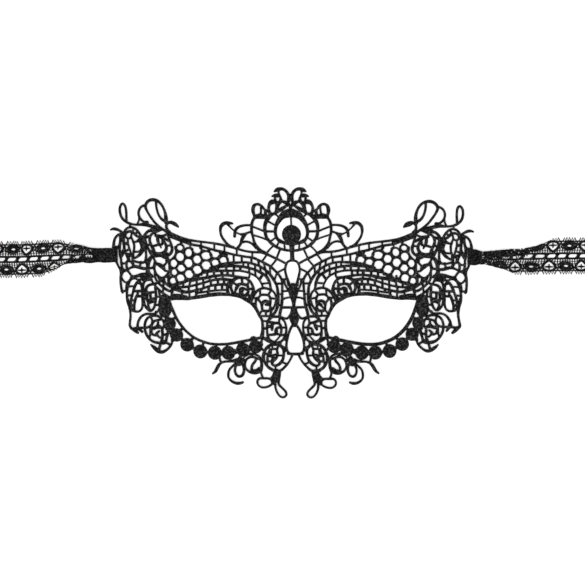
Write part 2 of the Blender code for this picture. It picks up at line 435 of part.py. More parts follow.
def bottom_loops(g):
    # Dark stem with its two hanging loops
    g.cord((10.4, -50), (10.7, -53), (11.6, -57.4), w=(1.4, 1.6, 1.6))
    g.cord((12.4, -50), (12.7, -53), (13.2, -57), w=(3.2, 3.6, 2.4))
    g.cord((14.2, -50.4), (15.2, -53.4), (16.6, -55.4), w=(1.4, 1.8, 1.6))
    g.cord((14.4, -53), (15.2, -56), (15.4, -58.8), w=(2.0, 2.6, 1.2))
    g.cord((11.5, -56.8), (11.4, -59.2), (9.2, -61.7), (7.1, -64), (6.8, -66.2), (8.2, -67.7),
           (10.3, -67.3), (12.3, -65), (13.6, -61.8), (13.6, -57.6), w=(1.6, 1.5, 1.4, 1.5, 1.5, 1.4,
           1.4, 1.4, 1.4, 1.5))
    g.cord((15.8, -58.4), (16, -56.3), (18, -55.3), (21, -55.2), (24.2, -55.3), (25.8, -57),
           (25.5, -59.4), (23.4, -60.9), (20.6, -61), (18, -60), (15.8, -58.4), w=(1.5, 1.5, 1.3))
    g.cord((23.2, -50.6), (22.8, -52.8), (21.8, -55), w=1.3)
    # Small swirl ring with its bar
    g.cord((22.8, -42.6), (25, -42.2), (27, -41.3), (29.4, -41.1), (31.8, -42.4), (33.1, -44.8),
           (33.1, -47.6), (31.6, -50), (29, -51.4), (26, -51.5), (23.6, -50.4), (22.6, -47.6),
           (22.2, -44.6), (23.4, -41), (25.2, -39.6), (27.6, -39), w=(1.2, 1.3, 1.5, 1.5, 1.5, 1.4,
           1.5, 2.2, 2.2, 1.6, 1.5, 1.4, 1.3, 1.2))
    g.cord((26, -42.2), (27, -44), (28.8, -46), (29.5, -48.4), (29.2, -51), w=(1.6, 1.7, 1.6, 1.6))
    g.cord((24.2, -48.4), (26, -49.5), (28.6, -49.8), w=1.4)
    g.cord((28.6, -39), (29, -41), w=2.0)
    g.cord((29.8, -39.6), (31.4, -40.2), (33.4, -41.4), (34.6, -43), w=(0.8, 0.8, 0.8))
    # Dark knot with a loop, a crescent and a leaf
    g.cord((36.4, -40.6), (36.8, -43), (37.4, -45), w=(2.6, 4.2, 4.4))
    g.cord((33.4, -43.4), (34.6, -43), (36, -42.6), w=2.0)
    g.cord((35, -45), (34, -48), (34.2, -51.2), (35.6, -54), (37.7, -54.5), (39.9, -52.9),
           (40.6, -49.8), (39.7, -47), (38.2, -45), w=(1.6, 1.4, 1.5, 1.5))
    g.cord((39.2, -45.2), (41.4, -47.2), (43.4, -49.4), (44.4, -52.2), (44, -55), (42, -57),
           (39, -58.3), (36.6, -58.3), (34.7, -57.4), w=(1.2, 1.4, 1.5, 1.6, 1.5, 1.6, 1.7, 2.0, 1.0))
    g.cord((38.4, -43.8), (43, -43.9), (47, -44.3), (50.2, -45.8), (51.9, -48.6), (53, -50.4),
           (54.8, -51.8), w=(1.8, 1.5, 1.4, 1.4, 2.2, 2.1, 0.9))
    g.cord((37.6, -43.4), (40.4, -44), (43.4, -43.6), w=(1.0, 1.2, 1.6))
    g.cord((49.8, -41.8), (49.9, -43.4), (49, -44.6), w=1.2)


def crest(g):
    g.cord((73.9, 44.3), (75.6, 46), (78.4, 47.3), (80.9, 46.9), (82.1, 44.8), (81.3, 42.4),
           (79.4, 40.6), w=(1.0, 2.2, 2.2, 1.7, 1.5, 1.4, 1.2))
    g.cord((82, 46.6), (81.7, 49.4), (82.2, 53), (83.7, 57.4), (86.2, 60.7), (89.3, 62.1), (92.4, 61.8),
           (94.6, 59.8), (95.4, 57.4), (94.4, 54.4), (92.4, 50.9), (90, 47.4), (87.6, 44.9), (84.8, 43),
           (82, 41), w=(1.8, 2.4, 1.9, 1.4, 1.6, 2.2, 2.2, 1.9, 1.6, 1.5, 1.4, 1.4, 1.4, 1.6, 1.6))
    g.cord((88, 61.4), (88.1, 57.6), (87.4, 53.6), (86.2, 50.6), (84.4, 48.4), (82.2, 47.8),
           w=(1.4, 1.4, 1.4, 1.4, 1.5, 1.5))
    g.cord((95.4, 58.2), (97.4, 57.7), (99.2, 55.8), (99.9, 53), (99.4, 50.4), (98, 48.4), (95.6, 46.8),
           w=(1.6, 1.6, 1.6, 1.4, 1.4, 1.3, 1.3))
    g.cord((99.7, 51.4), (100, 48.4), (101.4, 45.6), w=1.4)
    g.cord((86, 43.2), (89.6, 44.2), (93, 45), (96, 45.7), (100, 45.3), (104, 45.6), (107.6, 46.8),
           (110.6, 49.6), (112, 53.6), (111.8, 57.4), (110, 59.3), (108.3, 57.6), (107.6, 54),
           (107.7, 50.4), (107.7, 47), w=(1.4, 1.8, 2.0, 2.4, 1.4, 1.3, 1.6, 1.6, 1.5, 1.5, 1.5, 1.5,
           1.5, 1.5, 1.5))
    g.cord((94.4, 47.2), (95.8, 46.8), w=2.0)
    g.rung((105.5, 46), (105.5, 44), 1.2)
    g.cord((109.8, 38.8), (110.7, 40.2), (112.8, 41.9), (115.2, 42.7), (117.4, 42.6), (118.6, 42.1),
           w=(1.4, 1.4, 1.5, 2.2, 1.9, 1.0))
    g.cord((111.6, 39.4), (113.8, 38.8), (115.8, 36.8), (116.9, 33.6), (117, 30),
           w=(1.3, 1.4, 1.4, 1.5, 1.6))
    g.cord((112.4, 39), (112.6, 36), (113.2, 32.6), (114.2, 30.6), (116, 31), w=(1.6, 1.5, 1.4, 1.4, 2))
    # Filled corner under the crest
    g.cord((85, 42), (88, 42.6), (91.4, 42.2), w=(2.2, 3.6, 2.6))


def rose_1(g):
    g.cord((91, 41.8), (93.8, 41.2), (96, 38.9), (97, 36.2), w=(1.6, 1.5, 1.5, 1.6))
    g.cord((81.9, 41), (81, 38.8), (80.2, 36.2), (79.2, 33.4), (79.5, 30.2), (80.6, 27.6), (82, 25.4),
           w=(1.2, 1.2, 1.2, 1.3, 1.3, 1.3))
    g.cord((82.6, 38.6), (80.6, 36.4), w=1.4)
    g.cord((88.9, 39.6), (90.6, 39.9), (92.4, 38.4), (93.2, 35.4), (92.4, 32.6), (91, 29.4),
           (90.6, 27.2), (88.4, 26.2), (85.4, 26.4), (83, 28), (81.9, 31), (82.6, 33.6), (84.6, 36.6),
           (88, 38.4), w=(1.4, 1.6, 1.6, 1.6, 1.6, 1.6, 1.8, 1.9, 1.6, 1.6, 1.6, 1.6, 1.6, 1.6))
    g.cord((80.6, 33), (80.8, 30.8), (81.2, 29), w=1.0)
    g.cord((82, 39.2), (84.6, 38.2), (87.6, 38.8), (89.2, 38.2), w=(1.4, 1.5, 1.4, 1.5))
    g.cord((84.2, 37.2), (84.5, 34.4), (84.6, 32.8), (87.6, 32.6), (91.4, 31.8),
           w=(1.2, 1.4, 1.4, 1.7, 1.3))
    g.cord((87.6, 38.4), (87.9, 35.6), (87.2, 33), (86, 31), (85.6, 29.2), w=(1.6, 1.7, 1.7, 1.5, 1.0))
    g.cord((80, 34.4), (82.2, 32.8), w=1.3)
    g.cord((82.2, 25), (86, 25), (90.2, 24.8), (92.4, 23.8), w=(1.4, 1.6, 1.6, 1.4))
    g.rung((84.9, 26.2), (85, 24.8), 1.6)
    g.cord((96.6, 36.8), (95.6, 33.6), (94.2, 30.4), (92.6, 27.6), (91.2, 25.4),
           w=(2.6, 2.0, 1.4, 1.4, 1.6))
    g.cord((93, 37), (95.4, 36.6), w=1.2)
    g.cord((92.8, 32.4), (94.8, 32.4), w=1.2)
    g.cord((84.6, 41.6), (87, 40.6), (90, 40.6), w=(1.2, 1.8, 2.0))


def rose_2(g):
    # The dark spine between the two roses
    g.cord((97.2, 37.4), (97, 34.6), (96.6, 31.6), (96.2, 28.6), w=(3.0, 3.6, 3.2, 1.4))
    g.cord((98, 36), (98.4, 33), (98, 30), w=(2.2, 2.2, 1.6))
    g.cord((95.8, 30.6), (95.7, 26), (95.8, 20), w=1.4)
    # Outer ring
    g.cord((98.4, 37.6), (99.8, 40.4), (102, 42.8), (105, 44), (107.8, 43), (109.4, 40.6), (110, 37),
           (109.9, 33), (109.6, 29.8), w=(1.6, 1.5, 1.5, 1.5, 1.5, 1.6, 1.8, 1.8, 1.6))
    g.cord((96.8, 29.4), (97.8, 26.9), (99.6, 25), (101.8, 24.1), w=(1.4, 1.9, 1.7, 1.0))
    g.cord((102.4, 23.6), (103.2, 24.8), (103.3, 27), w=(0.9, 1.0, 1.2))
    g.cord((96.2, 24.4), (96.5, 22.4), (97.8, 20.9), (100.6, 20.2), (104, 20.8),
           w=(1.2, 1.1, 1.3, 1.5, 1.3))
    # Inner petals
    g.cord((99, 38), (101.2, 38.6), (103.3, 40.7), (105.8, 41.4), (108, 40.6), (109, 38.4), (108, 36.8),
           (106.4, 36.4), (104.6, 37.2), (103.9, 38.9), w=(1.4, 1.3, 1.5, 1.5, 1.5, 1.4, 1.2, 1.2, 1.3,
           1.3))
    g.cord((104, 40.4), (104.8, 38), (104, 35.8), (103.5, 33), (103.4, 29.6), (104, 26.6),
           (104.2, 23.4), (104.4, 20.4), w=(1.2, 1.2, 1.4, 1.4, 1.4, 1.6, 1.6, 1.6))
    g.cord((107.2, 36.6), (107.2, 33.4), (106.4, 29.8), (105.6, 27), (106.8, 24.6), (106.6, 22.4),
           w=(1.2, 1.4, 1.3, 1.3, 1.2, 1.2))
    g.cord((98.6, 36.4), (100.2, 37.2), (101.4, 36), (102, 34.6), (104, 34.6),
           w=(1.4, 1.4, 1.2, 1.3, 1.2))
    g.cord((99.2, 34), (98.6, 31.4), (99.4, 29), (100.6, 28), (103.2, 27.6), w=(1.4, 1.2, 1.3, 1.2, 1.2)
           )
    g.cord((100.4, 28), (101, 26), (102.6, 24.8), w=1.2)
    g.rung((103.4, 42.9), (103.9, 40.9), 1.3)
    g.rung((100.6, 41.2), (102, 39.4), 1.5)
    g.rung((107.2, 34), (109.8, 33), 1.2)
    g.cord((107.2, 32.6), (109.2, 33), w=1.3)
    g.cord((106.8, 29.4), (108.4, 28.6), (110, 28.8), w=(1.3, 1.5, 1.6))
    # Right-hand stems that run into the side edge
    g.cord((110, 38.4), (111.6, 36.6), (112.4, 33), (112.8, 29.6), (112.6, 26), (112, 22.6),
           w=(1.8, 2.0, 1.6, 1.6, 1.8, 1.4))
    g.cord((109.8, 32), (110.2, 29.6), (111.2, 27.6), (112.2, 25.6), w=(1.4, 1.6, 2.8, 1.8))
    g.cord((110, 29), (108.8, 26.6), (107.8, 23.8), (107.4, 21.6), w=(1.6, 1.6, 1.4, 1.3))
    g.cord((106, 26), (108.4, 26.6), w=1.6)
    g.cord((104.6, 21.6), (106.4, 21.4), (107.6, 22), w=1.2)
    g.cord((114, 30.6), (115.3, 28), (115.5, 24), (115.2, 20.6), w=(1.2, 1.2, 1.2, 1.2))
    g.cord((108.4, 22.4), (109.6, 20.8), (111.4, 20.6), (112.2, 22.6), w=(1.3, 1.3, 1.3))


def swirl_3(g):
    g.cord((82, 25), (81.4, 23), (80.8, 20.6), (80.6, 17.6), (81, 15), (82.4, 12.8), (84.6, 10.9),
           (86.8, 11), (89, 12.9), (90.6, 15.9), (90.4, 18.2), (89, 20), (86.4, 19.9), (84.6, 18.5),
           (83.8, 16.9), w=(1.4, 1.5, 1.5, 1.4, 1.5, 1.5, 1.5, 1.5, 1.4, 1.4, 1.5, 1.4, 1.4, 1.4, 1.5))
    g.cord((82.6, 22.4), (82.3, 20.8), (83.6, 19.6), (84.4, 18.2), w=(1.3, 1.3, 1.5))
    g.cord((83.2, 14.6), (84, 16.4), (86, 17.6), (88, 19.6), (89.4, 20.3), w=(1.6, 1.7, 1.6, 1.5, 1.4))
    g.cord((82, 24.6), (84.2, 24.6), w=1.2)
    g.cord((91.2, 24.6), (90.2, 22), (89, 20.4), w=1.3)
    g.cord((92.4, 23.6), (93.8, 20.6), (94.2, 17.8), (94.3, 15), (93.4, 12), (92, 8.6), (90, 5.4),
           (87.4, 2.3), (84.6, 0), (81.6, -2), w=(1.5, 1.5, 1.5, 1.6, 1.6, 1.2, 1.4, 1.4, 1.4, 1.6))
    g.cord((90.2, 21.6), (90.8, 18.6), (91.8, 17), (93.8, 17), w=1.2)
    g.cord((79, 1.6), (82, 2.4), (85, 4.4), (87.6, 6.8), (89.4, 9.6), (90, 12), (90.4, 15),
           w=(1.6, 1.4, 1.4, 1.5, 1.4, 1.2))
    g.cord((78, 4.4), (80.4, 4.9), (82.6, 6.4), (84.6, 8), (86.8, 9.2), (87.8, 11), (88.2, 12.4),
           w=(1.6, 1.6, 1.5, 1.6, 1.6, 1.5))
    g.rung((79.4, 4), (79.6, -0.6), 1.4)
    g.rung((84.4, 7.4), (85.4, 5), 1.4)
    g.rung((85, 4.4), (85.7, 1.2), 1.2)
    g.rung((87.3, 8.6), (88, 7), 1.6)
    g.rung((89, 7.8), (91, 6.2), 1.2)
    g.rung((89.6, 11.4), (92.6, 11.4), 1.2)
    g.cord((80.8, 12.4), (81.2, 10), (81.2, 7), w=1.5)
    g.cord((84.8, 10.8), (84.6, 9), (84, 7), w=1.4)
    g.cord((81.6, 11.6), (83, 11.4), w=1.6)
    g.cord((75, 7), (78, 5.4), (81, 6.6), w=(1.8, 2.2, 1.4))


def coil_4(g):
    g.cord((89.4, 7.4), (92, 6.4), (94.4, 5.4), (96, 3), (96.6, 0.6), (96, -2.6), (95.4, -5.6),
           (95, -8.4), (93.6, -10.6), w=(1.2, 1.3, 1.4, 1.5, 1.6, 1.5, 1.4, 1.3, 1.4))
    g.cord((92.8, 9.4), (95, 9), (97, 8), (98, 5.4), (98.2, 2), (98.2, -2), (97.8, -6), (96.6, -9),
           (94.4, -10.9), (92.6, -9.9), (91.2, -7.4), (90.4, -4), (90, -1), (90, 2), w=(1.4, 1.6, 1.9,
           1.9, 1.7, 1.6, 1.5, 1.5, 1.6, 1.5, 1.5, 1.4, 1.4, 1.4))
    g.cord((90, 1.7), (92.4, 1.6), (95, 1.4), w=1.5)
    g.cord((90.4, -3), (92.4, -3.2), (94, -4), (96, -4.4), w=(1.4, 1.9, 1.9, 1.4))
    g.cord((93.6, 1.6), (93.9, -0.6), (93.7, -3), w=1.2)
    g.cord((91, -5.4), (93, -5.4), (95.2, -6.6), w=(1.2, 1.4, 1.2))
    g.cord((88, 2.4), (87.7, -2), (87.7, -6), (88.6, -9.5), (90.6, -12.3), (93.2, -13.2),
           w=(1.6, 1.3, 1.4, 1.5, 1.6))
    g.rung((88, -1.8), (90.2, -1.7), 1.2)
    g.rung((88, -6.6), (91, -6.8), 1.2)
    g.cord((96.8, -3.4), (98.2, -3.2), w=1.4)
    g.rung((97, 1), (98.3, 1), 0.8)


def coil_5(g):
    g.cord((99.3, 9.6), (99, 6), (98.9, 2), (99, -3), (99, -7), (99.8, -10), (101.8, -11.7),
           (104.2, -11.4), (106, -10.6), (108, -7), (108.9, -2.6), (108.6, 1.6), (107.8, 5),
           (106.4, 8.4), (104, 10.6), (101.4, 11.4), w=(1.6, 1.6, 1.4, 1.6, 1.4, 1.4, 1.4, 1.6, 2.0,
           1.8, 1.5, 1.5, 1.5, 1.4, 1.4, 1.4))
    g.cord((100.4, 9.6), (102.4, 8.4), (104.2, 5.2), (104.9, 2.2), (105.8, -1), (106.6, -4),
           (106.8, -8), w=(1.3, 1.4, 1.4, 1.4, 1.4, 1.4, 1.6))
    g.cord((99, 2.2), (101.4, 2), (103.6, 2), (104.8, 2.4), w=1.3)
    g.cord((99.3, 7.2), (101, 7.4), (102.6, 8.2), w=1.4)
    g.cord((101.8, 2), (102, 0), (103.4, -1.6), (104, -4), (104.6, -7), (104.7, -10.6),
           w=(1.2, 1.3, 1.3, 1.3, 1.3, 1.5))
    g.cord((99.2, -1), (101.4, -1.2), (103, -1), w=1.5)
    g.cord((104.6, -4), (106.6, -4), w=1.2)
    g.rung((106, -0.6), (108.4, -0.8), 1.3)
    g.rung((105, 5.2), (107.6, 4.9), 1.2)
    g.cord((105, -7.6), (106.6, -6.8), w=1.4)
    g.rung((106.9, -4.6), (108.6, -4.8), 1.2)
    g.cord((99.6, 9.8), (101, 9.3), w=1.4)
    g.disc((97, 11.4), 1.9)
    g.cord((94.4, 12.6), (96.4, 12.6), (99.4, 12.6), (102.8, 12), (106, 11.6),
           w=(2.6, 3.0, 2.2, 1.4, 1.4))
    g.cord((98, 9.6), (97.2, 12), w=2.4)
    g.cord((103.6, 11), (105.6, 11.2), w=1.6)


def side_edge(g):
    # Leaf above the low loops
    g.cord((94.6, 17), (97.4, 16.4), (100, 16.8), (103.4, 17.7), (106.6, 16.9), (108.4, 15.6),
           w=(1.6, 1.6, 1.4, 1.4, 1.4, 1.4))
    g.cord((104.4, 11.6), (105.8, 12.6), (107.2, 14.6), (108.4, 15.5), w=1.4)
    # Diamond with the small cells above it
    g.cord((108.4, 15.6), (110.6, 14.6), (111.8, 12.6), (112, 10.8), (110.4, 8.4), (108.6, 7.9),
           (106.8, 9.6), (105.9, 11.4), w=1.3)
    g.cord((108, 8), (109, 5), (109.2, 2.4), w=(1.4, 1.4, 1.2))
    g.cord((99.8, 17.4), (99.6, 19), (98.8, 20.6), w=1.2)
    g.cord((104.2, 18.2), (104.4, 20.6), w=(2.2, 1.6))
    g.cord((95.4, 18), (95.6, 20.4), w=1.4)
    g.cord((104.4, 19.4), (106, 21.6), w=1.2)
    g.cord((108, 16.6), (108.6, 18.6), (108.2, 21.6), w=(1.6, 1.4, 1.4))
    g.cord((109.6, 15.6), (111, 16), (111.8, 18), (112.2, 21.4), w=(1.4, 1.4, 1.2, 1.4))
    g.cord((100, 21), (102, 21.4), w=1.3)
    g.cord((115.2, 21), (114.2, 18.6), (112.8, 16.4), (112.3, 14), (112.6, 11), (112.8, 8), (112.5, 4),
           (111.9, 0.9), w=(1.3, 1.4, 1.5, 1.6, 1.5, 1.5, 1.5, 1.4))
    g.cord((110.6, 14.8), (112.6, 14.4), w=1.4)
    g.cord((111.4, 9.8), (112.8, 10.2), w=1.3)
    g.rung((109, 2.2), (112.6, 2.1), 1.1)
    # Long side stem with its little hooks
    g.cord((108.5, -3), (107.8, -7), (106.9, -10.4), (106.7, -14), (107.3, -17.6), (108.1, -20.6),
           (107.3, -22.6), (105.4, -23.6), (102.4, -25.6), w=(1.6, 1.7, 1.7, 1.4, 1.4, 1.5, 1.8, 2.0,
           1.2))
    g.cord((104, -22.6), (102, -23.4), (99.6, -24.8), w=(1.4, 1.4, 1.0))


def rose_6(g):
    g.cord((88.4, -11), (90, -13.2), (93.6, -13.2), (97, -13.1), (100.2, -14.9), (102.4, -18.2),
           (103, -22), w=(1.4, 1.6, 1.4, 1.4, 1.5, 1.5, 1.6))
    g.cord((87.4, -15.6), (90, -14.2), (94, -14.6), (96.8, -16.6), (98.2, -20), (98.4, -24),
           (97.2, -28), (94.6, -30.8), (91, -31.9), (88, -32), (87.6, -30), w=(1.6, 1.6, 1.6, 1.5, 1.5,
           1.6, 1.8, 1.5, 1.6, 2.4, 1.4))
    g.cord((93.8, -15.4), (93.2, -17.4), (94, -20), (96, -21.6), (99, -21.8), (103, -21.9),
           (105.4, -22.6), w=(1.2, 1.2, 1.3, 1.4, 1.3, 1.4, 1.6))
    g.cord((86.6, -16.4), (89, -16.9), (91.6, -17.6), (93.6, -19.6), (94.2, -22), (94.2, -24.6),
           (93.4, -26.4), (91.6, -27.3), (89.4, -27.2), w=(1.4, 1.4, 1.4, 1.4, 1.4, 1.8, 1.8, 1.5, 1.3))
    g.cord((89.5, -17), (89.4, -19.4), (90.6, -21.2), (93, -22.6), w=(1.2, 1.3, 1.6, 1.8))
    g.cord((88.8, -24.2), (90.4, -25.2), (91.4, -26.8), w=(1.2, 1.4, 1.4))
    g.cord((86.4, -22), (88.2, -21.9), (90.6, -22), (92.2, -23), w=(1.4, 1.2, 1.6, 1.2))
    g.cord((86.2, -16.6), (85.2, -19), (85.6, -21.4), (86.8, -23.4), (86.8, -26), (87, -29),
           (87.4, -32), w=(1.6, 1.3, 1.2, 1.4, 1.4, 1.4, 1.4))
    g.cord((83, -22.6), (83.4, -25.6), (84.4, -28.6), (84.9, -31.4), w=1.3)
    g.cord((82.6, -25), (84.6, -26.4), (86.6, -26.8), w=1.4)
    g.cord((80.6, -29.6), (80.2, -32), (81.6, -34.6), (84, -37), (87, -38.5), (90, -37.9),
           (92.6, -35.6), (94.9, -33), w=(1.4, 1.2, 1.4, 1.5, 1.8, 2.6, 2.4, 0.8))
    g.cord((81.8, -33.2), (84, -31.8), (86.6, -32.2), w=1.5)
    g.cord((88.2, -32.4), (88.8, -34.6), (89.4, -36.4), w=(1.3, 1.4, 1.8))
    g.rung((84.9, -30.6), (87.2, -31), 1.4)
    g.rung((94.8, -22), (95, -26), 1.0)
    g.cord((94, -25.6), (95.2, -27.4), (95.4, -30), w=1.2)
    g.cord((87.2, -28.4), (88.6, -28.2), (90, -27.4), w=1.3)
    g.rung((84, -22.4), (84, -23.2), 1.2)
    g.cord((79.6, -30.6), (80.6, -28), w=1.4)
    g.cord((86.4, -15), (88, -14.8), w=2.0)
    g.cord((84.4, -15.6), (84.2, -17), w=1.0)


def widths_along(points, widths):
    """The width at each point of a cord, by its share of the cord's length."""
    if len(widths) == 1:
        return [widths[0]] * len(points)
    run = [0.0]
    for a, b in zip(points, points[1:]):
        run.append(run[-1] + math.dist(a, b))
    out = []
    for distance in run:
        place = distance / run[-1] * (len(widths) - 1)
        k = min(int(place), len(widths) - 2)
        out.append(widths[k] + (widths[k + 1] - widths[k]) * (place - k))
    return out


def cord_sides(points, widths, closed):
    """The points on both sides of a cord, mitred where it turns."""
    last = len(points) - 1
    pairs = []
    for i, (p, width) in enumerate(zip(points, widths_along(points, widths))):
        at_end = i in (0, last)
        before = points[last - 1] if closed and at_end else points[max(i - 1, 0)]
        after = points[1] if closed and at_end else points[min(i + 1, last)]
        into = Vector(p) - Vector(before)
        out = Vector(after) - Vector(p)
        into = into.normalized() if into.length > 1e-9 else out.normalized()
        out = out.normalized() if out.length > 1e-9 else into
        along = into + out
        along = along.normalized() if along.length > 0.3 else into
        half = 0.5 * width * WEIGHT * min(1.4, 1 / max(0.5, along.dot(into)))
        across = Vector((-along.y, along.x)) * half
        pairs.append((Vector(p) + across, Vector(p) - across))
    return pairs


def patches(lace, side):
    """The lace as small overlapping triangles and dots, each wound the same way."""
    shapes = []
    for points, widths, closed in lace.cords:
        pairs = cord_sides(points, widths, closed)
        for (a, b), (c, d) in zip(pairs, pairs[1:]):
            shapes += [(a, b, d), (a, d, c)]
    for (cx, cy), radius in lace.discs:
        shapes.append([Vector((cx + radius * math.cos(a), cy + radius * math.sin(a)))
                       for a in (2 * math.pi * k / 14 for k in range(14))])
    for shape in shapes:
        placed = [Vector((side * p.x - LEAN * p.y, p.y)) for p in shape]
        size = area(placed)
        if abs(size) > 1e-6:
            yield placed if size > 0 else placed[::-1]


def area(points):
    return 0.5 * sum(a[0] * b[1] - b[0] * a[1] for a, b in zip(points, points[1:] + points[:1]))


def outlines(shapes):
    """Joins the shapes into one and follows its borders: outer ones run left, holes run right."""
    corners = []
    faces = []
    for shape in shapes:
        faces.append(list(range(len(corners), len(corners) + len(shape))))
        corners += shape
    corners, _, tiles, _, _, sources = delaunay_2d_cdt(corners, [], faces, 0, 1e-5, True)
    border = set()
    for tile, source in zip(tiles, sources):
        if not source:
            continue
        for edge in zip(tile, tile[1:] + tile[:1]):
            if edge[::-1] in border:
                border.remove(edge[::-1])
            else:
                border.add(edge)
    onward = {}
    for a, b in sorted(border):
        onward.setdefault(a, []).append(b)
    loops = []
    while onward:
        start = min(onward)
        loop = [start]
        while True:
            choices = onward[loop[-1]]
            step = choices.pop()
            if not choices:
                del onward[loop[-1]]
            if step == start:
                break
            loop.append(step)
        loops.append([corners[i] for i in loop])
    return loops


def straighten(points, stray):
    """Drops the points of an open line that lie within stray of a straight side."""
    a, b = points[0], points[-1]
    chord = b - a
    far, at = -1.0, 0
    for i in range(1, len(points) - 1):
        off = points[i] - a
        distance = abs(off.cross(chord)) / chord.length if chord.length > 1e-9 else off.length
        if distance > far:
            far, at = distance, i
    if far <= stray:
        return [a, b]
    return straighten(points[:at + 1], stray)[:-1] + straighten(points[at:], stray)


def facet(loop, stray):
    """A closed border with fewer points."""
    half = max(range(len(loop)), key=lambda i: (loop[i] - loop[0]).length)
    return (straighten(loop[:half + 1], stray)[:-1]
            + straighten(loop[half:] + loop[:1], stray)[:-1])


def crossings(loops):
    """Which borders run into each other, found by laying them all out together."""
    corners = []
    sides = []
    owner = []
    for number, loop in enumerate(loops):
        first = len(corners)
        corners += loop
        for i in range(len(loop)):
            sides.append((first + i, first + (i + 1) % len(loop)))
            owner.append(number)
    laid, edges, _, sources, edge_sources, _ = delaunay_2d_cdt(corners, sides, [], 0, 1e-4, True)
    meeting = {i for i, source in enumerate(sources) if len(source) != 1}
    found = set()
    for edge, source in zip(edges, edge_sources):
        if meeting.intersection(edge):
            found.update(owner[i] for i in source if i < len(owner))
    return found


def lace_borders():
    """The borders of the lace in sheet units: its outline first, then its holes, each as few straight sides."""
    shapes = []
    for side in (1, -1):
        shapes += patches(half_lace(), side)
    shapes += patches(centre_lace(), 1)
    loops = outlines(shapes)
    outline = max(loops, key=area)
    smallest = (SMALLEST_HOLE / UNIT) ** 2
    fine = [outline] + [loop for loop in loops if area(loop) < -smallest]
    stray = [FACET / UNIT] * len(fine)
    while True:
        coarse = [facet(loop, limit) for loop, limit in zip(fine, stray)]
        wrong = crossings(coarse)
        if not wrong:
            return coarse
        for number in wrong:
            stray[number] *= 0.5


def flat_solid(name, loops, bottom, height, collection):
    """A flat outline with its holes as a filled 2D curve, extruded, and made one closed mesh."""
    curve = bpy.data.curves.new(name, "CURVE")
    curve.dimensions = "2D"
    curve.fill_mode = "BOTH"
    curve.extrude = height / 2
    for loop in loops:
        spline = curve.splines.new("POLY")
        spline.points.add(len(loop) - 1)
        for point, (x, y) in zip(spline.points, loop):
            point.co = (x, y, 0.0, 1.0)
        spline.use_cyclic_u = True
    drawn = bpy.data.objects.new(name, curve)
    drawn.location.z = bottom + height / 2
    collection.objects.link(drawn)
    return as_mesh(drawn, name, collection)


def as_mesh(drawn, name, collection):
    """Takes a curve object's solid, welds its loose caps and puts a mesh object in its place."""
    bpy.context.view_layer.update()
    evaluated = drawn.evaluated_get(bpy.context.evaluated_depsgraph_get())
    mesh = bpy.data.meshes.new_from_object(evaluated)
    mesh.name = name
    place = drawn.matrix_world.copy()
    curve = drawn.data
    bpy.data.objects.remove(drawn)
    bpy.data.curves.remove(curve)
    work = bmesh.new()
    work.from_mesh(mesh)
    bmesh.ops.remove_doubles(work, verts=work.verts, dist=0.000002)
    bmesh.ops.recalc_face_normals(work, faces=work.faces)
    work.to_mesh(mesh)
    work.free()
    solid = bpy.data.objects.new(name, mesh)
    solid.matrix_world = place
    collection.objects.link(solid)
    return solid


def black_thread(name, shade, roughness):
    material = bpy.data.materials.new(name)
    material.use_nodes = True
    shader = material.node_tree.nodes["Principled BSDF"]
    shader.inputs["Base Color"].default_value = (shade, shade, shade * 1.05, 1.0)
    shader.inputs["Roughness"].default_value = roughness
    shader.inputs["Metallic"].default_value = 0.0
    return material


# How a ribbon opens from its gathers, as pairs of distance from the mask's edge and share of the way open:
# the left one unfolds above first and below last, the right one opens slowly above and sooner below
LEFT_ABOVE = ((0.012, 0.0), (0.018, 0.2), (0.025, 0.65), (0.031, 1.0))
LEFT_BELOW = ((0.031, 0.0), (0.037, 0.55), (0.042, 0.9), (0.059, 1.0))
RIGHT_ABOVE = ((0.007, 0.05), (0.017, 0.1), (0.030, 0.2), (0.040, 0.4), (0.047, 0.75), (0.052, 0.9), (0.065, 1.0))
RIGHT_BELOW = ((0.004, 0.0), (0.011, 0.25), (0.019, 0.55), (0.024, 0.85), (0.044, 1.0))

# Heights on the sheet where each ribbon leaves the mask, and how far its middle drops or climbs to run level
LEFT_TIE = 25.6
RIGHT_TIE = 24.0
LEFT_CLIMB = -0.0028
RIGHT_CLIMB = 0.0008
CLIMB_LENGTH = 0.060


def opening(stations, distance):
    """The share of the way open at a distance, between the stations."""
    if distance <= stations[0][0]:
        return stations[0][1]
    for (d0, s0), (d1, s1) in zip(stations, stations[1:]):
        if distance <= d1:
            return s0 + (s1 - s0) * (distance - d0) / (d1 - d0)
    return stations[-1][1]


def ribbon_plan(side, edge, tie, climb, above, below):
    """The ribbon seen from above: from its lap on the mask's side cord to the far side of its roll."""
    end = RIBBON_REACH + ROLL_DIAMETER / 2 + RIBBON_WIDTH
    places = sorted({-2 * GATHER_LAP, 0.0, CLIMB_LENGTH, end - edge}
                    | {d for d, _ in above} | {d for d, _ in below})
    full = RIBBON_WIDTH / 2
    gathered = GATHER_WIDTH / 2
    top = []
    bottom = []
    for d in places:
        middle = tie + climb * min(1.0, max(0.0, d) / CLIMB_LENGTH)
        x = side * (edge + d)
        top.append((x, middle + gathered + (full - gathered) * opening(above, d)))
        bottom.append((x, middle - gathered - (full - gathered) * opening(below, d)))
    return top + bottom[::-1]


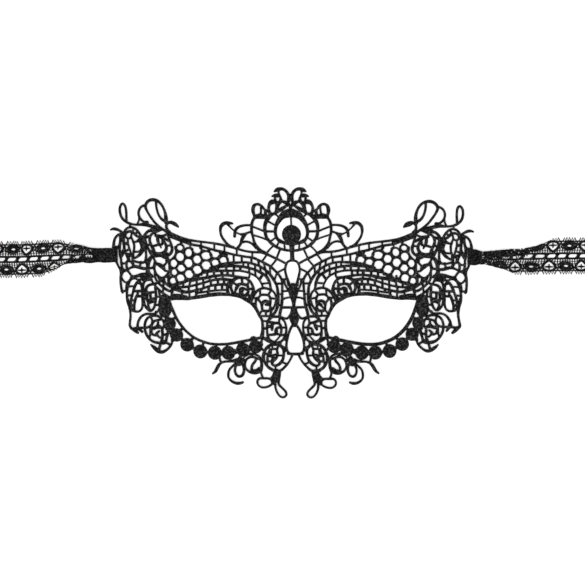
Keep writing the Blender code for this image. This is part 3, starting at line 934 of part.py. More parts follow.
def ribbon_profile(side, edge):
    """The ribbon seen from its long edge: the lap over the side cord, the gathers, the flat run and the roll."""
    radius = ROLL_DIAMETER / 2
    lap_under = LACE_THICKNESS + GAP
    line = [(edge - GATHER_LAP, GATHER_THICKNESS), (edge - GATHER_LAP, lap_under), (edge + GAP, lap_under),
            (edge + GAP, 0.0), (RIBBON_REACH, 0.0)]
    meet = math.pi + math.asin((radius - RIBBON_THICKNESS) / radius)
    steps = 22
    for i in range(1, steps + 1):
        a = -math.pi / 2 + (meet + math.pi / 2) * i / steps
        line.append((RIBBON_REACH + radius * math.cos(a), radius + radius * math.sin(a)))
    line += [(edge + 2.6 * GATHER_LENGTH, RIBBON_THICKNESS),
             (edge + 1.7 * GATHER_LENGTH, RIBBON_THICKNESS + 0.25 * (GATHER_THICKNESS - RIBBON_THICKNESS)),
             (edge + GATHER_LENGTH, RIBBON_THICKNESS + 0.75 * (GATHER_THICKNESS - RIBBON_THICKNESS)),
             (edge + 0.6 * GATHER_LENGTH, GATHER_THICKNESS)]
    return [(side * x, z) for x, z in line]


def ribbon(name, side, edge, tie, climb, stations, shift, collection, cutters):
    """A ribbon is its side profile, swept across and cut to its plan."""
    plan = [(x, y + shift) for x, y in ribbon_plan(side, edge, tie, climb, *stations)]
    middle = tie + climb + shift
    depth = 3 * RIBBON_WIDTH
    swept = flat_solid(name, [ribbon_profile(side, edge)], -depth / 2, depth, collection)
    swept.rotation_euler.x = math.radians(90)
    swept.location = (0.0, middle, 0.0)
    bpy.context.view_layer.update()
    swept.data.transform(swept.matrix_world)
    swept.matrix_world.identity()
    cutter = flat_solid(name + "_plan", [plan], -ROLL_DIAMETER, 3 * ROLL_DIAMETER, cutters)
    cutter.hide_render = True
    cutter.display_type = "WIRE"
    cut = swept.modifiers.new("Plan", "BOOLEAN")
    cut.operation = "INTERSECT"
    cut.object = cutter
    return swept


def build():
    for thing in list(bpy.data.objects):
        bpy.data.objects.remove(thing)
    collection = bpy.data.collections.new("lace_eye_mask")
    cutters = bpy.data.collections.new("cutters")
    bpy.context.scene.collection.children.link(collection)
    bpy.context.scene.collection.children.link(cutters)

    borders = lace_borders()
    heights = [p.y for p in borders[0]]
    shift = -UNIT * (min(heights) + max(heights)) / 2
    placed = [[(UNIT * p.x, UNIT * p.y + shift) for p in loop] for loop in borders]
    lace = flat_solid("lace_mask", placed, 0.0, LACE_THICKNESS, collection)
    lace.data.materials.append(black_thread("lace_thread", 0.018, 0.55))

    thread = black_thread("ribbon_thread", 0.02, 0.6)
    for name, side, tie, climb, stations in (
            ("ribbon_left", -1, LEFT_TIE, LEFT_CLIMB, (LEFT_ABOVE, LEFT_BELOW)),
            ("ribbon_right", 1, RIGHT_TIE, RIGHT_CLIMB, (RIGHT_ABOVE, RIGHT_BELOW))):
        reach = GATHER_WIDTH / UNIT
        edge = UNIT * max(side * p.x for p in borders[0] if abs(p.y - tie) < reach)
        piece = ribbon(name, side, edge, UNIT * tie, climb, stations, shift, collection, cutters)
        piece.data.materials.append(thread)


build()
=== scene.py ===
# %% [markdown]
# # A black lace eye mask, lying flat on a pale table
#
# The real mask is guipure lace: satin-stitched cords that hold on to each other with no net behind them.
# Seen from above it is a drawing in black line, so this scene is built the way a draughtsman works: every
# cord is a line with a width, and the line is swept into a round thread. The two ribbons that tie the mask
# on are woven trim with a pattern of their own, drawn the same way and then bent to where they lie.
#
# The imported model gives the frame: everything here is in metres and sits where its boxes say.

# %% Load the measured model
import math

import bmesh
import bpy
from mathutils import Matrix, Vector, noise


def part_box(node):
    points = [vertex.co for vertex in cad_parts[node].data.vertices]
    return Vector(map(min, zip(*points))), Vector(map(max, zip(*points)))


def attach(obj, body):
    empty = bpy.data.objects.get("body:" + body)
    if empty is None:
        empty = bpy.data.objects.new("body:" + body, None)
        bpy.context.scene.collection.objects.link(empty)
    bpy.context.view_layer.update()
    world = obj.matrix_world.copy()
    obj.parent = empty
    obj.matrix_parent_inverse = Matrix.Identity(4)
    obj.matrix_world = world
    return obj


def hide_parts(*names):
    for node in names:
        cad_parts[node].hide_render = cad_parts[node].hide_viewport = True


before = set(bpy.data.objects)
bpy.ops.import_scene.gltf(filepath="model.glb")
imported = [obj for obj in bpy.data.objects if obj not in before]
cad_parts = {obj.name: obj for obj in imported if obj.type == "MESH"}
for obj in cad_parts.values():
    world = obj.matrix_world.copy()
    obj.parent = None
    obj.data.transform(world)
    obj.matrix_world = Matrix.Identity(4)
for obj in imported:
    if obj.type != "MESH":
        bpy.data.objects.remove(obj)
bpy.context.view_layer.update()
lace_low, lace_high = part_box("lace_mask")
print("the lace is", [round(1000 * (b - a), 1) for a, b in zip(lace_low, lace_high)], "mm")

# %% [markdown]
# ## Sizes
#
# The lace is drawn on a sheet 240 units wide, and the mask is 240 mm wide, so a unit is a millimetre here.
# The drawing is made once for the right half, with x outward from the middle, and mirrored. The real piece
# leans a little to the left as it rises, as hand-pinned lace does, and LEAN says how much.

# %% Sizes in metres, and the sheet's scale
MASK_WIDTH = 0.240
LACE_THICKNESS = 0.0014
RIBBON_WIDTH = 0.025
RIBBON_REACH = 0.2095
ROLL_DIAMETER = 0.024
GATHER_LAP = 0.0036

SHEET_WIDTH = 240
UNIT = MASK_WIDTH / SHEET_WIDTH
MM = 0.001
LEAN = 0.033
CORD = 1.4
RUNG = 1.1
print("a unit of the sheet is", 1000 * UNIT, "mm, and a plain cord is", CORD, "units wide")

# %% [markdown]
# ## Lines with a width
#
# A stitcher follows a chalk line and leaves a cord of thread on it. Here the chalk line is a Catmull-Rom
# curve: it passes through a few chosen points and bends evenly between them, which is how thread lies.
# Blender's own curves would need a handle on each side of every point. A list of widths is spread along the
# line, so one cord can swell and thin like the real satin stitch.

# %% Flowing lines
def flow(points, closed=False, step=1.0):
    """A flowing line through a few points, as a Catmull-Rom curve."""
    pts = list(points)
    if len(pts) == 2 and not closed:
        return pts
    count = len(pts)
    line = []
    for i in range(count if closed else count - 1):
        a = pts[i]
        b = pts[(i + 1) % count]
        before = pts[i - 1] if closed or i > 0 else (2 * a[0] - b[0], 2 * a[1] - b[1])
        after = pts[(i + 2) % count] if closed or i + 2 < count else (2 * b[0] - a[0], 2 * b[1] - a[1])
        pieces = max(2, int(math.dist(a, b) / step))
        for k in range(pieces):
            t = k / pieces
            line.append(tuple(
                0.5 * (2 * a[j] + (b[j] - before[j]) * t
                       + (2 * before[j] - 5 * a[j] + 4 * b[j] - after[j]) * t ** 2
                       + (3 * a[j] - before[j] - 3 * b[j] + after[j]) * t ** 3)
                for j in (0, 1)))
    line.append(line[0] if closed else pts[-1])
    return line


def height_at(line, x):
    """The y of a long line where it passes x."""
    for a, b in zip(line, line[1:]):
        if min(a[0], b[0]) <= x <= max(a[0], b[0]) and a[0] != b[0]:
            return a[1] + (b[1] - a[1]) * (x - a[0]) / (b[0] - a[0])
    return None


print("a line through 3 points flows in", len(flow([(0, 0), (5, 4), (9, 0)])) - 1, "steps")

# %% [markdown]
# The drawing is kept as a list of cords and a list of filled dots. Each way to draw is one method, so that a
# motif reads like a stitcher's notes: a cord that flows, a bar between two cords, a ring, a dot.

# %% A lace that collects cords and dots
class Lace:
    """The cords and the filled dots of one drawing."""

    def __init__(self):
        self.cords = []
        self.discs = []

    def line(self, points, w=CORD):
        """A cord along a ready-made line; w is its width, or widths spread evenly along it."""
        self.cords.append((points, w if isinstance(w, tuple) else (w,)))

    def cord(self, *points, w=CORD, closed=False):
        """A cord that flows through the points."""
        self.line(flow(points, closed), w)

    def rung(self, a, b, w=RUNG):
        """A short straight bar between two cords."""
        self.line([a, b], w)

    def bars(self, *rows):
        """Several bars, each with its two ends and its width."""
        for a, b, w in rows:
            self.rung(a, b, w)

    def rungs(self, upper, lower, places, lean=0.0, w=RUNG):
        """Bars between two long lines, at the given places across."""
        for x in places:
            top = height_at(upper, x)
            bottom = height_at(lower, x + lean)
            if top is not None and bottom is not None:
                self.rung((x, top), (x + lean, bottom), w)

    def ring(self, cx, cy, rx, ry, w=CORD, step=1.3):
        """An oval cord round a middle."""
        count = max(10, int(2 * math.pi * max(rx, ry) / step))
        turns = [2 * math.pi * i / count for i in range(count + 1)]
        self.line([(cx + rx * math.cos(a), cy + ry * math.sin(a)) for a in turns], w)

    def disc(self, centre, radius):
        """A filled dot."""
        self.discs.append((centre, radius))


def count_cords(*motifs):
    """How many cords some motifs of the drawing have."""
    lace = Lace()
    for motif in motifs:
        motif(lace)
    return len(lace.cords)


print("a trial ring has", count_cords(lambda lace: lace.ring(0, 0, 3, 2)), "cord")

# %% [markdown]
# ## The drawing, motif by motif
#
# Each motif of the half mask is a function that draws its cords into a Lace. A cord is the list of places it
# passes, and w is its width, or the widths it has in turn. The drawing could be one long list, but a lace
# maker works motif by motif too, and a motif with a name is easy to find and mend.
#
# The crown in the middle of the brow holds a filled disc. Loops stand on its rim.

# %% Draw the crown
def crown(lace):
    lace.cord((1, 53.2), (4.6, 52), (7.2, 49.4), (9.5, 45.7), (10.5, 41.5), (10.2, 38), (8.8, 35.7),
              (6.6, 34.3), (3.5, 33.4), (0.5, 32.7), w=(5.6, 5, 3.7, 2.7, 2.2, 2, 2.1, 2.4, 1.8, 1.6))
    lace.cord((0, 28.6), (3.5, 28.8), (7.5, 29.8), (11, 31.5), (14.1, 34.1), (16.5, 37.5), (17.3, 42),
              (17.1, 45.6), (15.6, 49), (13, 51.9), (10.1, 53.1), (7.4, 54.9), (5.5, 56.1), (3.5, 57.4),
              (1.8, 58.3), (0, 58.2),
              w=(1.6, 1.6, 1.6, 1.7, 1.9, 1.9, 2, 2, 2.2, 2.6, 2.7, 1.9, 1.8, 2.6, 1.7, 1.3))
    lace.bars(((10.5, 45.2), (15.6, 48), RUNG), ((9.9, 37.5), (14.1, 34.5), RUNG),
              ((8, 34.9), (10, 31.4), RUNG), ((4.9, 33), (4.6, 29), RUNG), ((7.5, 50), (10.8, 53.2), RUNG))
    lace.cord((10.7, 41.1), (17.3, 41.2), w=1.4)
    lace.cord((17.4, 41), (21, 42.6), (25.6, 44.4), w=1.2)
    lace.cord((16, 35.6), (20, 37.2), (25.2, 38.8), w=RUNG)
    lace.cord((12.6, 31.3), (14.5, 29.5), (16.6, 27), w=RUNG)
    lace.cord((7.6, 29.8), (9.1, 26.4), (10.4, 23.4), w=1.2)
    lace.cord((15.1, 50.9), (18, 50.9), (21, 51.1), (24, 50.5), w=(2.8, 3.2, 3.5, 2.4))
    lace.cord((23.6, 50.4), (25.2, 48), (25.9, 44.8), (26, 41), (25.2, 37), (24.4, 33.8), (22.6, 30.5),
              (20, 28.2), (16.8, 27), w=(1.7, 1.8, 1.8, 1.6, 1.5, 1.6, 2.4, 2.2, 1.6))


def crown_loops(lace):
    lace.cord((0.4, 56.6), (0.7, 58.2), (1.5, 59.8), (1.2, 61.5), (1.1, 63.5), (1.4, 65.6), (2.8, 67.7),
              (5.2, 69), (8, 68.6), (10.4, 67.3), w=(1.4, 1.8, 2, 2, 1.9, 1.9, 1.9, 2.3, 3, 1))
    lace.cord((7.6, 68.4), (7.4, 66), (6.3, 63), (5, 60.7), (3, 59.5), w=(1.6, 1.2, 1.3, 1.3, 1.8))
    lace.cord((6.9, 64.4), (8.8, 64.7), (10.6, 64.6), (12, 64.1), w=(2, 2.9, 2.1, 0.9))
    lace.cord((10.1, 64.4), (10, 62.5), (9.6, 60.8), w=1.5)
    lace.cord((6.3, 63.4), (6.6, 61.4), (7.6, 60.2), w=(1.6, 1.8, 1.8))
    lace.cord((8, 60), (10, 60.4), (12, 60.5), (13.6, 59.1), (14.4, 56.8), (14.2, 54.4), (13.3, 52.6),
              w=(1.4, 2.8, 3.2, 2.1, 1.7, 2, 2.4))
    lace.cord((9.2, 60.3), (9, 57.6), (9.7, 54.3), (10.4, 53.2), w=(1.8, 1.9, 1.5))
    lace.cord((3, 60.4), (5.2, 60.8), (7.2, 59.3), (8.4, 57), (8.8, 54.8), w=(1.6, 1.3, 1.5, 1.9))
    lace.cord((15.2, 54.1), (17, 55.3), (18.5, 57.3), (20.1, 58.6), (22, 59), (23.9, 58.1), (24.7, 55.5),
              (24.4, 53), (23.5, 50.6), w=(1.2, 1.4, 1.6, 1.6, 1.7, 2.4, 2.4, 1.9, 1.6))
    lace.cord((19.5, 58.2), (19.4, 56), (19.6, 53.6), (20.1, 51.5), w=1.3)
    lace.cord((16.5, 55.2), (16.6, 53), (16.6, 51), w=1.9)


print("crown:", count_cords(crown, crown_loops), "cords")

# %% [markdown]
# Tendrils rise beside the crown and lean out over the brow. Each swells and thins on its way, and its list
# of widths says where.

# %% Draw the tendrils beside the crown
def shoulder_tendrils(lace):
    lace.cord((26.2, 45.2), (30, 45.2), (33.7, 44.4), (36.2, 42.6), (37, 40.3), (37.3, 37.7),
              w=(1.4, 1.4, 1.5, 1.8, 1.9, 1.8))
    lace.cord((26.2, 41), (28.8, 40.2), (30.9, 38.8), (32.5, 36), (33.5, 33), (35, 31), (36.5, 29.6),
              w=(1.3, 1.3, 2.6, 2.2, 1.8, 1.6, 1.6))
    lace.cord((31.6, 39.2), (33.6, 39.3), (35.3, 40.1), (37, 40.6), w=(2, 1.2, 0.9, 0.9))
    lace.cord((23.6, 30.2), (25.3, 32.4), (27.6, 34), (30.3, 34.5), (33, 33.8), w=1.4)
    lace.cord((37.4, 41.6), (39.3, 43.2), (41.3, 45.6), w=(1, 0.9, 1.6))
    lace.cord((38.3, 46.3), (40.8, 46.7), (43.7, 46.5), (45.9, 44.6), (46.5, 41.5), (45.8, 38),
              (43.8, 34.8), (41, 31.9), (38, 31), w=(1.2, 2.2, 2.4, 1.9, 1.5, 1.5, 1.6, 1.7, 1))


print("tendrils:", count_cords(shoulder_tendrils), "cords")

# %% [markdown]
# Under the tendrils the brow is a ladder: long cords side by side that sweep from the temple to the nose.
# They are drawn first and given names, so that a bar can ask them where they are. A bar that was drawn by its
# own ends would have to be moved with every change of a cord.

# %% Lay the long lines of the brow
# From the top edge down to the eye
BROW_1 = flow([(83, 41.8), (79, 39.7), (75, 37.9), (70, 36.2), (65, 35.2), (60, 34.5), (55, 33.9),
               (50, 33.2), (45, 32.2), (40, 30.9), (35, 29.5), (30, 28.2), (25, 27.6), (20, 27.4),
               (16.5, 26.2), (12.5, 24.3), (8.5, 22.4), (4.6, 20.3)])
BROW_2 = flow([(80, 38.2), (75, 36.2), (70, 34.3), (66, 32.7), (60, 31.6), (55, 30.2), (50, 28.8),
               (45, 27.8), (40, 26.4), (35, 25.4), (30, 24.5), (26, 24), (22, 22.3), (18.2, 20.4),
               (14.7, 18.4), (11.6, 15.5), (8.9, 12.4), (7.3, 9), (7.2, 5), (7.4, 0), (7.7, -5),
               (8.5, -9.5), (9.3, -12.6), (9.5, -15.2)])
BROW_3 = flow([(54, 17), (50, 18.1), (46, 19.4), (40, 20.5), (35, 20.8), (30, 20.9), (26, 20), (22, 18.6),
               (18, 16), (15.4, 13.6), (13.5, 11), (11.8, 8), (10.6, 5), (10.1, 0), (10.2, -5),
               (10.9, -8.6), (12.4, -11.8), (14.4, -13.9)])
BROW_4 = flow([(50, 17.8), (44, 18.4), (38, 18.5), (33, 18.1), (28, 17.1), (24, 15.8), (20.5, 13.9),
               (17.6, 12), (16.1, 9.5), (15.2, 7), (14.8, 4.4), (14.2, 2.4)])
BROW_5 = flow([(57, 15), (50, 15.3), (45, 15.4), (40, 15.4), (35, 15.4), (30, 14.5), (26.5, 13.1),
               (23.5, 11.2), (21.5, 8.5), (20.3, 6), (19.8, 4)])
BROW_6 = flow([(66, 9.3), (62, 10.1), (57, 10.8), (52, 11.9), (47, 12.4), (42, 12.4), (38, 11.8),
               (34, 11.2), (30.5, 10.4)])
BROW_7 = flow([(78, 5.6), (74, 4.7), (70, 4.9), (66, 5.6), (62, 6.6), (58, 7.7), (54, 8.9), (50, 9.7),
               (46, 9.9), (42.5, 9.5), (39, 9.1)])
BROW_8 = flow([(79, 3.8), (75, 2.7), (71, 1.5), (67, 1.8), (63, 2.9), (59, 3.9), (55, 5.3), (51, 6.1),
               (47, 6.4), (42, 6.4)])
BROW_9 = flow([(64, 1), (60, 1.3), (56, 1.9), (52, 2.4), (48, 2.7), (43.5, 2.9)])

print("the longest line of the brow passes", len(BROW_2), "points")

# %% [markdown]
# Short bars cross from each long cord to the next and leave narrow slots between them. Most are placed by
# how far out they stand. Where the cords turn down beside the nose a bar lies level instead, and is drawn by
# its two ends.

# %% Draw the ladders of the brow
def brow_ladders(lace):
    lace.line(BROW_1, (1.9, 2.2, 1.7, 1.4, 1.4, 1.5, 1.4, 1.4, 1.4, 1.7, 1.5, 1.4))
    lace.line(BROW_2, (1.9, 2, 1.6, 1.4, 1.4, 1.4, 1.5, 1.5, 1.6, 1.5, 1.5, 1.9, 2))
    lace.line(BROW_3, (1.8, 2.2, 1.9, 1.4, 1.5, 1.5, 1.9, 1.7, 1.9, 1.9, 1.6))
    lace.line(BROW_4, (1.8, 1.8, 1.7, 1.6, 2, 1.4))
    lace.line(BROW_5, (1.9, 1.8, 1.5, 1.3, 1.3, 1.2, 1.2))
    lace.line(BROW_6, (2.4, 2, 1.9, 1.6, 1.6, 1.5, 1.6))
    lace.line(BROW_7, (1.8, 1.5, 1.5, 1.4, 1.4, 1.6, 2, 1.8))
    lace.line(BROW_8, (2.2, 2.2, 1.8, 1.4, 1.4, 1.6, 2))
    lace.line(BROW_9, (1.4, 1.4, 1.2, 1.2, 1.2))
    lace.rungs(BROW_1, BROW_2, (59.4, 50.8, 44.2, 36.2, 26.1))
    lace.rungs(BROW_1, BROW_2, (16.4,), lean=3.6)
    lace.rung((10, 23.2), (13.7, 18.8), 1.2)
    lace.cord((60.2, 30.4), (58.6, 28.9), (56, 28.3), (53.6, 28.9), w=1.2)
    lace.rungs(BROW_2, BROW_3, (38.35, 33.1, 26.8), w=1.3)
    lace.bars(((43.9, 27), (41.9, 20.6), 1.2), ((22.4, 22.2), (21.8, 18.4), 1.3),
              ((18.9, 20.8), (17.7, 16), 1.2), ((14.8, 18), (14.8, 12.8), 1.2),
              ((10.4, 14), (12, 9.6), 1.2), ((7.8, 7), (11.4, 7), 1.3), ((7.5, 0), (10.6, 0.2), RUNG),
              ((7.7, -7), (10.8, -7.2), 1.4))
    lace.rungs(BROW_3, BROW_4, (32.2, 29, 24.5), w=1.2)
    lace.bars(((21.2, 17.8), (20.9, 14.4), 1.2), ((17.8, 15.8), (16.8, 10.8), RUNG))
    lace.rungs(BROW_4, BROW_5, (48.9, 43.5, 38.4, 34.3), w=1.6)
    lace.rungs(BROW_3, BROW_4, (39,), w=1.4)
    lace.rungs(BROW_4, BROW_5, (28.5,), w=1.2)
    lace.bars(((24.8, 16), (24.2, 11.6), 1.2), ((19.6, 13), (21.9, 9.8), 1.7),
              ((15.4, 7.4), (20.6, 6.9), 1.2))
    lace.rungs(BROW_5, BROW_6, (56, 51.6, 42.7, 39), w=1.5)
    lace.rung((46.4, 15), (46.4, 12.4), 2)
    lace.cord((28.2, 13.4), (28.5, 11.6), (29.4, 10), w=1.3)
    lace.rungs(BROW_6, BROW_7, (46, 50.5, 54.6, 58.8, 63.1), w=1.3)
    lace.cord((66.5, 9.4), (67.5, 7.8), (68, 5.6), w=(2.2, 1.3, 1.2))
    lace.rung((71.8, 7.4), (72, 5.2), 1.3)
    lace.rungs(BROW_7, BROW_8, (45.2, 49.2, 53.8, 58.7, 63.2, 68.4, 74), w=1.5)
    lace.rungs(BROW_8, BROW_9, (46.6, 51, 55.4, 60.2), w=1.6)
    lace.cord((64, -0.6), (63, 1.2), (63, 2.6), w=1.6)
    lace.bars(((68.1, 1.4), (68.1, -2), 1.2), ((72.9, 2), (73, -2), 1.2), ((43.3, 6), (43.3, -0.5), 1.6),
              ((55.8, 1.8), (55.8, -0.5), 1.6))


print("brow:", count_cords(brow_ladders), "cords")

# %% [markdown]
# Beside the nose the long lines run down side by side, and a few bars and curved threads make tall cells
# between them and the middle line.

# %% Draw the cells beside the nose
def nose_cells(lace):
    lace.cord((0, 22.2), (2.6, 21.6), (4.2, 19.4), (4.9, 16), (4.4, 12.5), (3.4, 9), (2.6, 6),
              w=(1.4, 1.4, 1.4, 1.4, 1.6, 1.8, 2.4))
    lace.rung((4.8, 16.9), (9.4, 14.6), 1.2)
    lace.cord((4.3, 10.3), (5.8, 9.7), (7.6, 10.1), w=1.2)
    lace.cord((5.6, 9.8), (5.6, 7.5), (4.5, 4.9), (3.2, 2.6), w=1.3)
    lace.rung((3, 2.2), (7.2, 2), 1.2)
    lace.cord((1.8, -2), (4.5, -2.3), (7.6, -3.4), w=1.2)
    lace.rung((0.6, -8.6), (8.2, -8.6), 1.6)
    lace.cord((0.9, -9), (1.6, -12), (2.9, -14.1), (4.6, -15.8), (6.6, -15.7), (9, -14.8), (14, -14.6),
              (18, -14.3), (22.2, -14.2), w=(2, 1.8, 1.4, 1.4, 1.4, 1.8, 1.6, 1.3, 1.3))
    lace.cord((0.9, -20), (2.3, -21.8), (3.7, -25), (4.8, -28.4), (5.6, -32), (5.7, -35), (5.1, -37.4),
              (3.7, -38.8), w=1.6)


print("nose:", count_cords(nose_cells), "cords")

# %% [markdown]
# Further out, the space between the brow and the eye is a honeycomb. A grid of equal hexagons would be quick
# but too even, since the real cells were stitched one by one. So each closed cell is a ring with a place and
# a size of its own, rings that touch share a wall, and short thick cords fill the corners between them.

# %% Draw the honeycomb
# Each closed cell of the honeycomb: its middle, and its reach across and up
NET = ((73.25, 30.4, 2.5, 2.35), (73.4, 24.45, 3.15, 3.4), (72.9, 17.1, 3.2, 2.9), (73.5, 10.6, 3.2, 3.1),
       (67.75, 27.2, 2.8, 3.2), (68.05, 20.4, 3.25, 3.4), (67.9, 13.2, 3.3, 3.25), (62.3, 22.8, 3.15, 3.3),
       (62.4, 16, 3.5, 3.35), (56.4, 25.2, 3.7, 3.05), (56.5, 18.9, 3.6, 3.4), (50.55, 20.6, 2.95, 2.75),
       (45.1, 22.35, 3.05, 2.75), (77.6, 20.25, 2.75, 3.15), (77.5, 14.5, 2.4, 2.6),
       (78.5, 8.85, 2.6, 2.65))


def honeycomb(lace):
    for x, y, rx, ry in NET:
        lace.ring(x, y, rx, ry, w=1.3)
    lace.cord((62.2, 32), (60, 31.2), (59.1, 29.1), (60, 27.1), (62.2, 26.2), (64.4, 27.1), (65.2, 29.1),
              (65.1, 29.9), w=1.3)
    lace.cord((50.9, 28.6), (47.9, 27.9), (47, 26), (47.9, 24.2), (50.3, 23.5), (52.7, 24.2), (53.6, 26),
              (53.5, 26.7), w=1.3)
    # Fillings between the round cells and the long lines
    lace.bars(((66.9, 33.2), (66.4, 30.2), 1), ((65.1, 29.7), (66.6, 30.5), 1.2))
    lace.cord((65.9, 33.9), (68.8, 34.7), w=(0.9, 1.2))
    lace.disc((46.4, 26.9), 0.9)
    lace.rung((72.5, 34.6), (72.2, 32.4), 1.6)
    lace.cord((76.4, 31.2), (76.3, 29.8), (75.9, 28), (76.7, 25.4), (78.8, 23), w=1.3)
    lace.cord((54.9, 29.2), (53.9, 27.5), (53, 25.6), w=1.2)
    lace.cord((46, 25.6), (44.6, 26), (43, 25.4), w=2.4)
    lace.cord((58.6, 14.4), (55.6, 14.9), (53, 16.3), (50, 17.2), w=2)
    lace.cord((65.6, 10.2), (63, 11.6), (60.5, 13.4), w=(2.4, 2.6, 1.4))
    lace.cord((74.5, 7.2), (71.5, 8), (68, 9.6), w=(2.4, 2, 2))
    lace.cord((75.2, 7.3), (77, 6.2), (80, 6), w=(2.4, 2.4, 1.6))
    lace.disc((60, 13.2), 1)
    lace.cord((80.1, 14), (79.9, 15.2), (79.6, 16.8), w=1.6)
    lace.disc((47.5, 24.6), 1.2)


print("honeycomb:", len(NET), "closed cells,", count_cords(honeycomb), "cords")

# %% [markdown]
# The eye opening has a rim of its own: a brow line above, a corner beside the nose and a long curve below.
# Three cords draw it rather than one closed ring, because each runs on into the lace at its ends.

# %% Draw the eye's rim
def eye_rim(lace):
    lace.cord((31.5, -3.6), (34, -2.1), (37, -1.1), (42, -0.3), (47, 0), (52, -0.3), (57, -0.9), (62, -1.7),
              (66, -2.3), (70, -2.7), (76, -2.4), (82, -2.6),
              w=(1.8, 1.7, 1.7, 2, 2.2, 2.2, 2.4, 2, 2.3, 2.6, 3))
    lace.cord((31.5, -3.6), (28.2, -5.5), (25.6, -8.6), (23.8, -11.8), (22.8, -14.2), (21.5, -16),
              (20.9, -19), (20.9, -24), (21.5, -27.4), w=(1.8, 2, 1.8, 1.6, 1.6, 1.7, 1.8, 2.1, 2.6))
    lace.cord((21.9, -28.2), (26, -29.2), (31, -30.2), (37, -31.3), (42, -32.2), (47, -32.7), (52, -32.7),
              (56.5, -32.1), (60.5, -30.8), (64, -29.4), (68, -26.8), (72.6, -22.4), (76.6, -16.6),
              (79.5, -10), (81.2, -5), (81.7, -2.6), w=(1.8, 1.6, 1.6, 1.8))


print("eye:", count_cords(eye_rim), "cords")

# %% [markdown]
# Below the eye hangs a row of filled dots, large in the middle and small at the outer end. The dots are
# discs, which a later step fills with stitches. Short thick bars hang them from the rim and join each to the
# next.

# %% Draw the dots under the eye
# Each dot: its middle and its radius
EYE_DOTS = ((84.6, -11.4, 3.7), (81.8, -19.3, 4.05), (77.4, -26.6, 4.2), (70.7, -33, 4.3),
            (62.2, -37.4, 4.4), (52.7, -38.3, 4.4), (43.9, -38.3, 4.4), (34.2, -36.2, 4.4),
            (25.9, -34.3, 4.2))


def eye_dots(lace):
    lace.cord((84.5, -2.5), (84.6, -6.5), (84.7, -10), w=(6.6, 8.2, 7.4))
    for x, y, r in EYE_DOTS:
        lace.disc((x, y), r)
    lace.cord((80.3, -9.6), (81.3, -12.2), (83, -14.6), w=1.2)
    lace.cord((81.8, -22.6), (82.3, -25.4), w=1.6)
    lace.cord((70, -1.5), (75, -0.5), (80, -0.4), w=1.5)
    lace.cord((44, 0.5), (49, 0.8), (55, 0.2), w=1.1)
    lace.bars(((78.6, -15.7), (80.5, -16.6), 1.8), ((73.8, -22.8), (75.6, -24), 1.8),
              ((67, -29), (68.2, -30.2), 1.8), ((59.8, -31.5), (60.6, -33.6), 1.6),
              ((51.5, -32.6), (51.8, -34.6), 1.4), ((44.5, -32.6), (44.5, -34.6), 1.6),
              ((36.5, -31.4), (36.2, -32.8), 2.6), ((27.3, -29), (26.8, -31), 4.4),
              ((83.4, -15), (83, -16), 3), ((79.8, -22.6), (79.2, -23.6), 2.6),
              ((74, -29.4), (73.4, -30.4), 2.2), ((66.6, -35.2), (66.4, -35.4), 2.4),
              ((57.3, -37.9), (57.7, -37.9), 2), ((48.2, -38.4), (48.8, -38.4), 3.2),
              ((39.2, -37.4), (39.8, -37.7), 3.4), ((30, -35.3), (30.4, -35.4), 4))


print("dots:", len(EYE_DOTS), "on", count_cords(eye_dots), "cords")

# %% [markdown]
# Four coils curl around the eye and the nose. A coil is a cord that winds in on itself and ends in a loose,
# thick tip, with thin spokes that hold its turns apart. A spiral formula would draw it too, but no two of
# these coils wind alike, so each is a chalk line like the rest.

# %% Draw the two coils beside the eye
def brow_coil(lace):
    # Outer ring, opening into the rim below and the brow lines at the right
    lace.cord((30.3, 10.2), (27.9, 8.2), (26.5, 5.4), (26.1, 2.6), (26.7, 0), (28.2, -2.7), (30.5, -4),
              w=(1.6, 1.6, 1.6, 2, 2.6, 2.6, 2))
    lace.cord((30, 10.6), (33.5, 10.9), (37, 10.5), (39.3, 9), (40.7, 6.6), (40.9, 4.4), (40.1, 2),
              (39.6, 0), w=(1.8, 1.7, 1.7, 2.4, 2.6, 2.2, 1.7, 1.8))
    lace.cord((42, 8.4), (42.9, 5.2), (42.9, 2.5), (42.2, 0), w=(1.6, 1.7, 1.6, 1.8))
    # Second ring with its hook
    lace.cord((29.7, 7), (29.6, 4), (29.5, 1.8), (30.8, -0.4), (33.6, -1.6), w=(1.5, 1.7, 1.9, 2.4, 2.2))
    lace.cord((29.8, 5.7), (31.4, 6.3), (34, 6.7), (35.9, 6.2), (36.9, 4.6), (37.8, 2.6), (38.3, 0.4),
              w=(1.7, 2, 1.6, 2.2, 2.3, 1.5, 1.6))
    lace.cord((30.2, 3.1), (31.8, 3.4), (33.2, 3.9), (34.5, 3.3), (34.8, 1.8), (34.8, 0.6), (36, -0.3),
              w=(1.5, 1.8, 2.1, 2.2, 1.8, 1.9, 2.2))
    lace.cord((33.4, 3), (33.8, 1.2), (33.4, -0.6), w=(2.2, 2, 2))
    lace.bars(((36, 0.2), (38.4, 0.4), 1.4), ((33.4, 10.8), (33.3, 7.3), 1.6),
              ((28.7, 8.8), (29.9, 6.4), 1.4), ((26.6, 3.6), (29.6, 3.4), 1.6),
              ((37.4, 6.4), (39.6, 8), 1.4))
    lace.cord((31, -0.8), (29.4, -0.6), (28, -1), w=1.4)
    lace.cord((29.1, -0.6), (29.1, -3), w=1.3)
    lace.cord((31.8, -1.6), (32, -3), w=1.5)
    lace.cord((27.3, -2.2), (29.4, -3), (31.6, -2.8), w=1.5)


